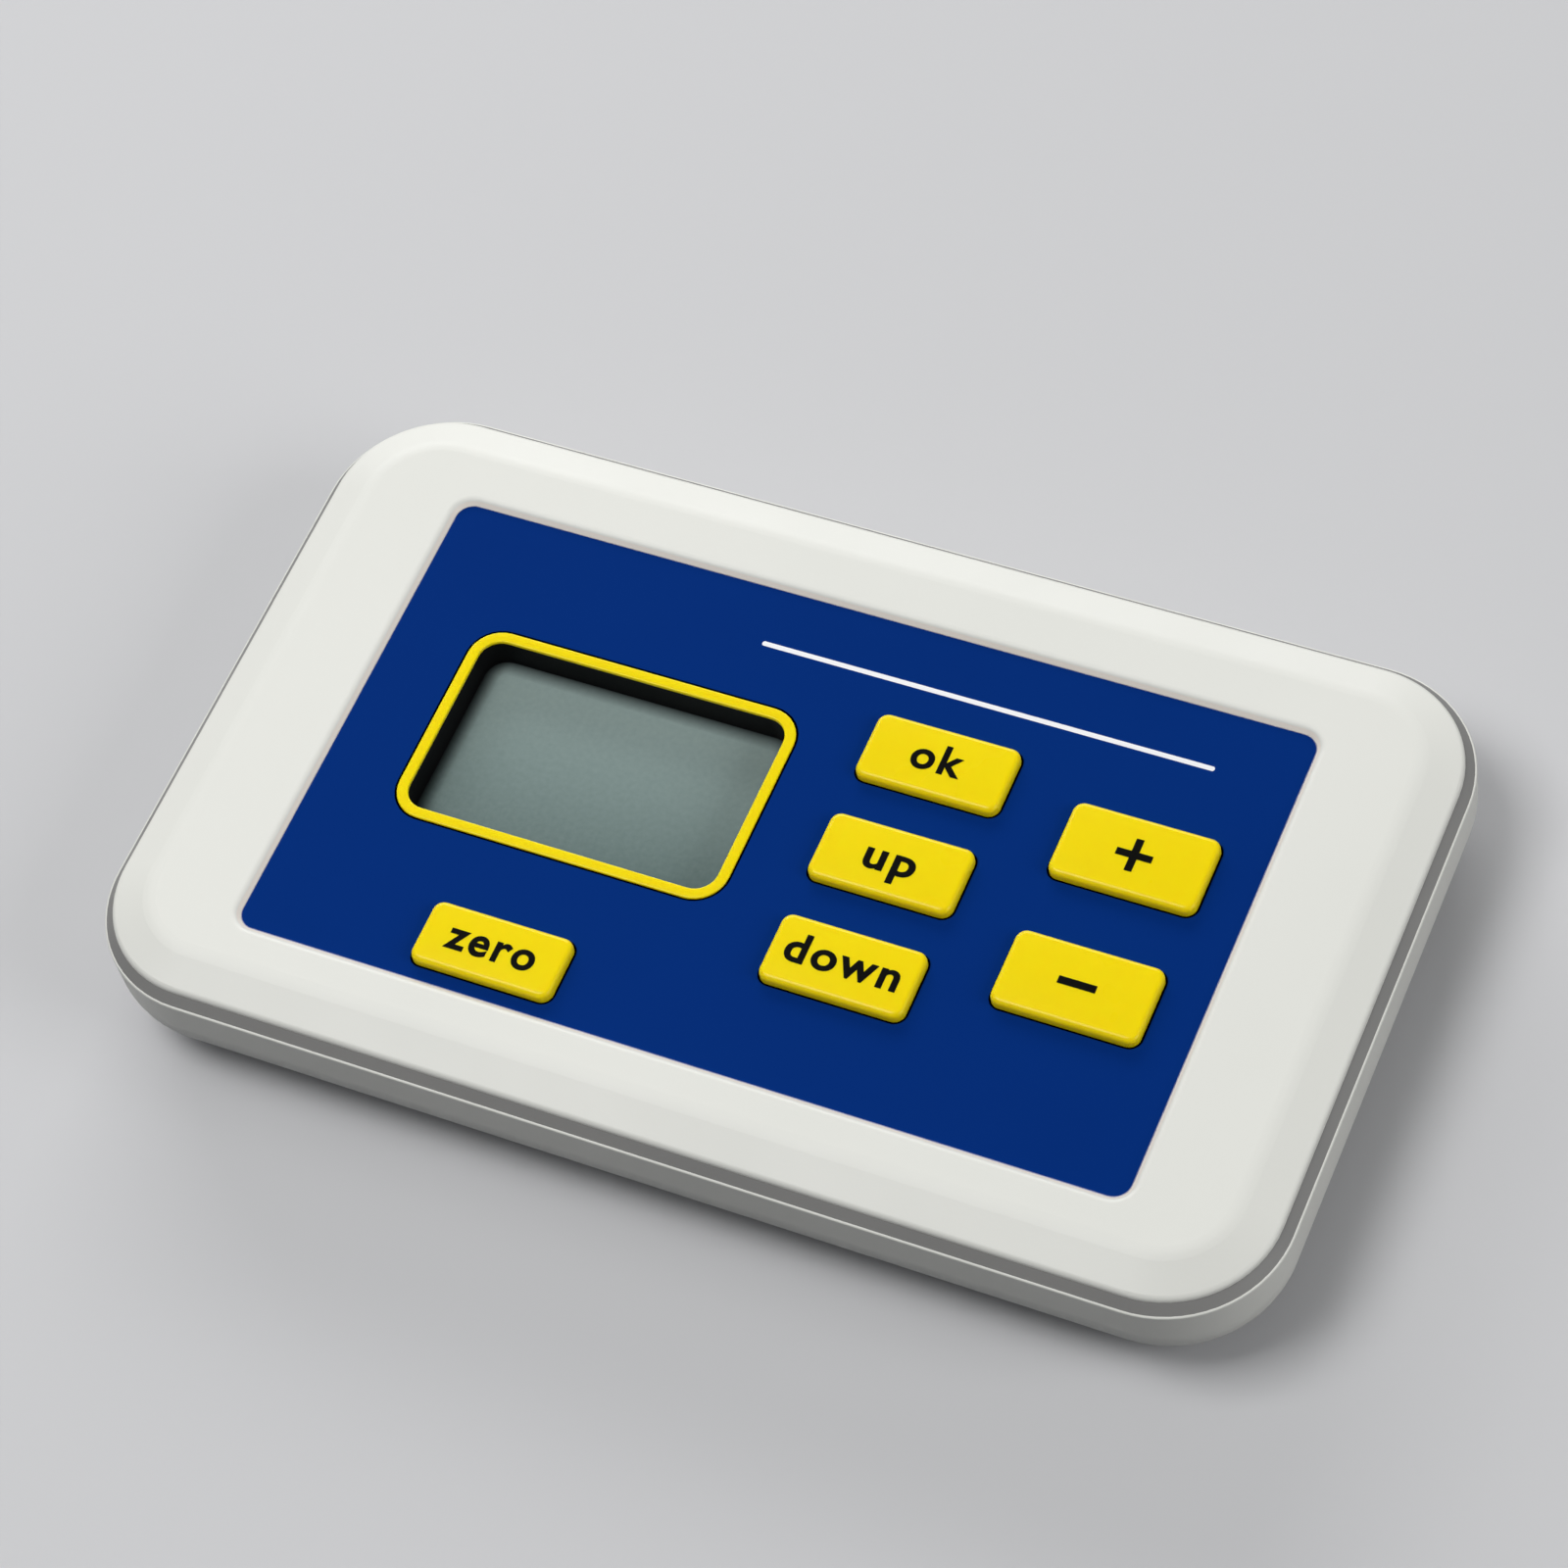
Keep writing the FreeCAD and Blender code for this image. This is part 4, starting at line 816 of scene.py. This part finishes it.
# Each lamp's direction, distance, width and height in metres, and power in watts
LAMPS = {
    "top_soft_box": ((-0.32, -0.18, 0.93), 0.9, (0.45, 0.45), 4.45),
    "key_soft_box": ((-0.46, 0.78, 0.41), 1.0, (0.9, 0.3), 5.35),
    "side_fill": ((0.88, 0.02, 0.50), 1.1, (0.6, 0.6), 4.3),
}
FOCAL_LENGTH = 109.19
SENSOR_WIDTH = 36.0
NEAR_CLIP = 0.01
CAMERA_AIM = Vector((-1.65, 5.51, 17.9)) * MM
CAMERA_DISTANCE = 566.27 * MM
CAMERA_HEADING = math.radians(35.234)
CAMERA_ELEVATION = math.radians(56.446)
CAMERA_ROLL = math.radians(-14.325)


def add_seen(tree):
    """One for what the camera, a mirror or glass shows, and nought for light that falls on things."""
    path = tree.nodes.new("ShaderNodeLightPath")
    seen = path.outputs["Is Camera Ray"]
    for label in ("Is Glossy Ray", "Is Transmission Ray"):
        either = tree.nodes.new("ShaderNodeMath")
        either.operation = "MAXIMUM"
        tree.links.new(seen, either.inputs[0])
        tree.links.new(path.outputs[label], either.inputs[1])
        seen = either.outputs["Value"]
    return seen


def make_floor_material():
    """Pale to the camera, duller in the light that it throws back, and plain where it meets the horizon."""
    material = bpy.data.materials.new("floor_paper")
    material.use_nodes = True
    tree = material.node_tree
    shader = tree.nodes["Principled BSDF"]
    shader.inputs["Roughness"].default_value = FLOOR_ROUGHNESS
    shader.inputs["Specular IOR Level"].default_value = 0.0
    shader.inputs["Emission Strength"].default_value = 1.0
    seen = add_seen(tree)
    place = tree.nodes.new("ShaderNodeTexCoord").outputs["Object"]
    far = add_map(tree, add_vector_step(tree, "LENGTH", place), FLOOR_FADE, 0.0, 1.0)
    base = add_blend(tree, seen, FLOOR_BOUNCE, add_blend(tree, far, FLOOR_SEEN, BLACK))
    glow = add_blend(tree, seen, BLACK, add_blend(tree, far, BLACK, HORIZON))
    tree.links.new(base, shader.inputs["Base Color"])
    tree.links.new(glow, shader.inputs["Emission Color"])
    return material


def make_floor():
    mesh = bmesh.new()
    bmesh.ops.create_grid(mesh, x_segments=FLOOR_CELLS, y_segments=FLOOR_CELLS, size=FLOOR_REACH)
    data = bpy.data.meshes.new("floor")
    mesh.to_mesh(data)
    mesh.free()
    data.materials.append(make_floor_material())
    floor = bpy.data.objects.new("floor", data)
    scene.collection.objects.link(floor)


def add_lamp(name, direction, distance, size, energy):
    """A soft box, given by width and height, that faces the case from a direction."""
    lamp = bpy.data.lights.new(name, "AREA")
    lamp.shape = "RECTANGLE"
    lamp.size, lamp.size_y = size
    lamp.energy = energy
    holder = bpy.data.objects.new(name, lamp)
    away = Vector(direction).normalized()
    holder.location = away * distance
    holder.rotation_euler = away.to_track_quat("Z", "Y").to_euler()
    scene.collection.objects.link(holder)


def make_world():
    """Even, faint light all round; to the eye it is a room that is pale low down and dark overhead."""
    world = bpy.data.worlds.new("studio")
    world.use_nodes = True
    tree = world.node_tree
    height = add_map(tree, add_axis(tree, "Generated", "Z"), CEILING_SPAN, 0.0, 1.0)
    room = add_blend(tree, height, HORIZON, CEILING)
    shown = add_blend(tree, add_seen(tree), WORLD_LIGHT, room)
    tree.links.new(shown, tree.nodes["Background"].inputs["Color"])
    scene.world = world


def make_light():
    make_world()
    for name, (direction, distance, size, energy) in LAMPS.items():
        add_lamp(name, direction, distance, size, energy)


def make_camera():
    lens = bpy.data.cameras.new("photo_view")
    lens.lens = FOCAL_LENGTH
    lens.sensor_width = SENSOR_WIDTH
    lens.clip_start = NEAR_CLIP
    camera = bpy.data.objects.new("photo_view", lens)
    turn = (Matrix.Rotation(CAMERA_HEADING, 4, "Z")
            @ Matrix.Rotation(math.pi / 2 - CAMERA_ELEVATION, 4, "X")
            @ Matrix.Rotation(CAMERA_ROLL, 4, "Z"))
    stand = CAMERA_AIM + turn.to_3x3() @ Vector((0, 0, CAMERA_DISTANCE))
    camera.matrix_world = Matrix.Translation(stand) @ turn
    scene.collection.objects.link(camera)
    scene.camera = camera


dress_solids()
make_pieces()
make_floor()
make_light()
make_camera()
scene.view_settings.view_transform = "Standard"
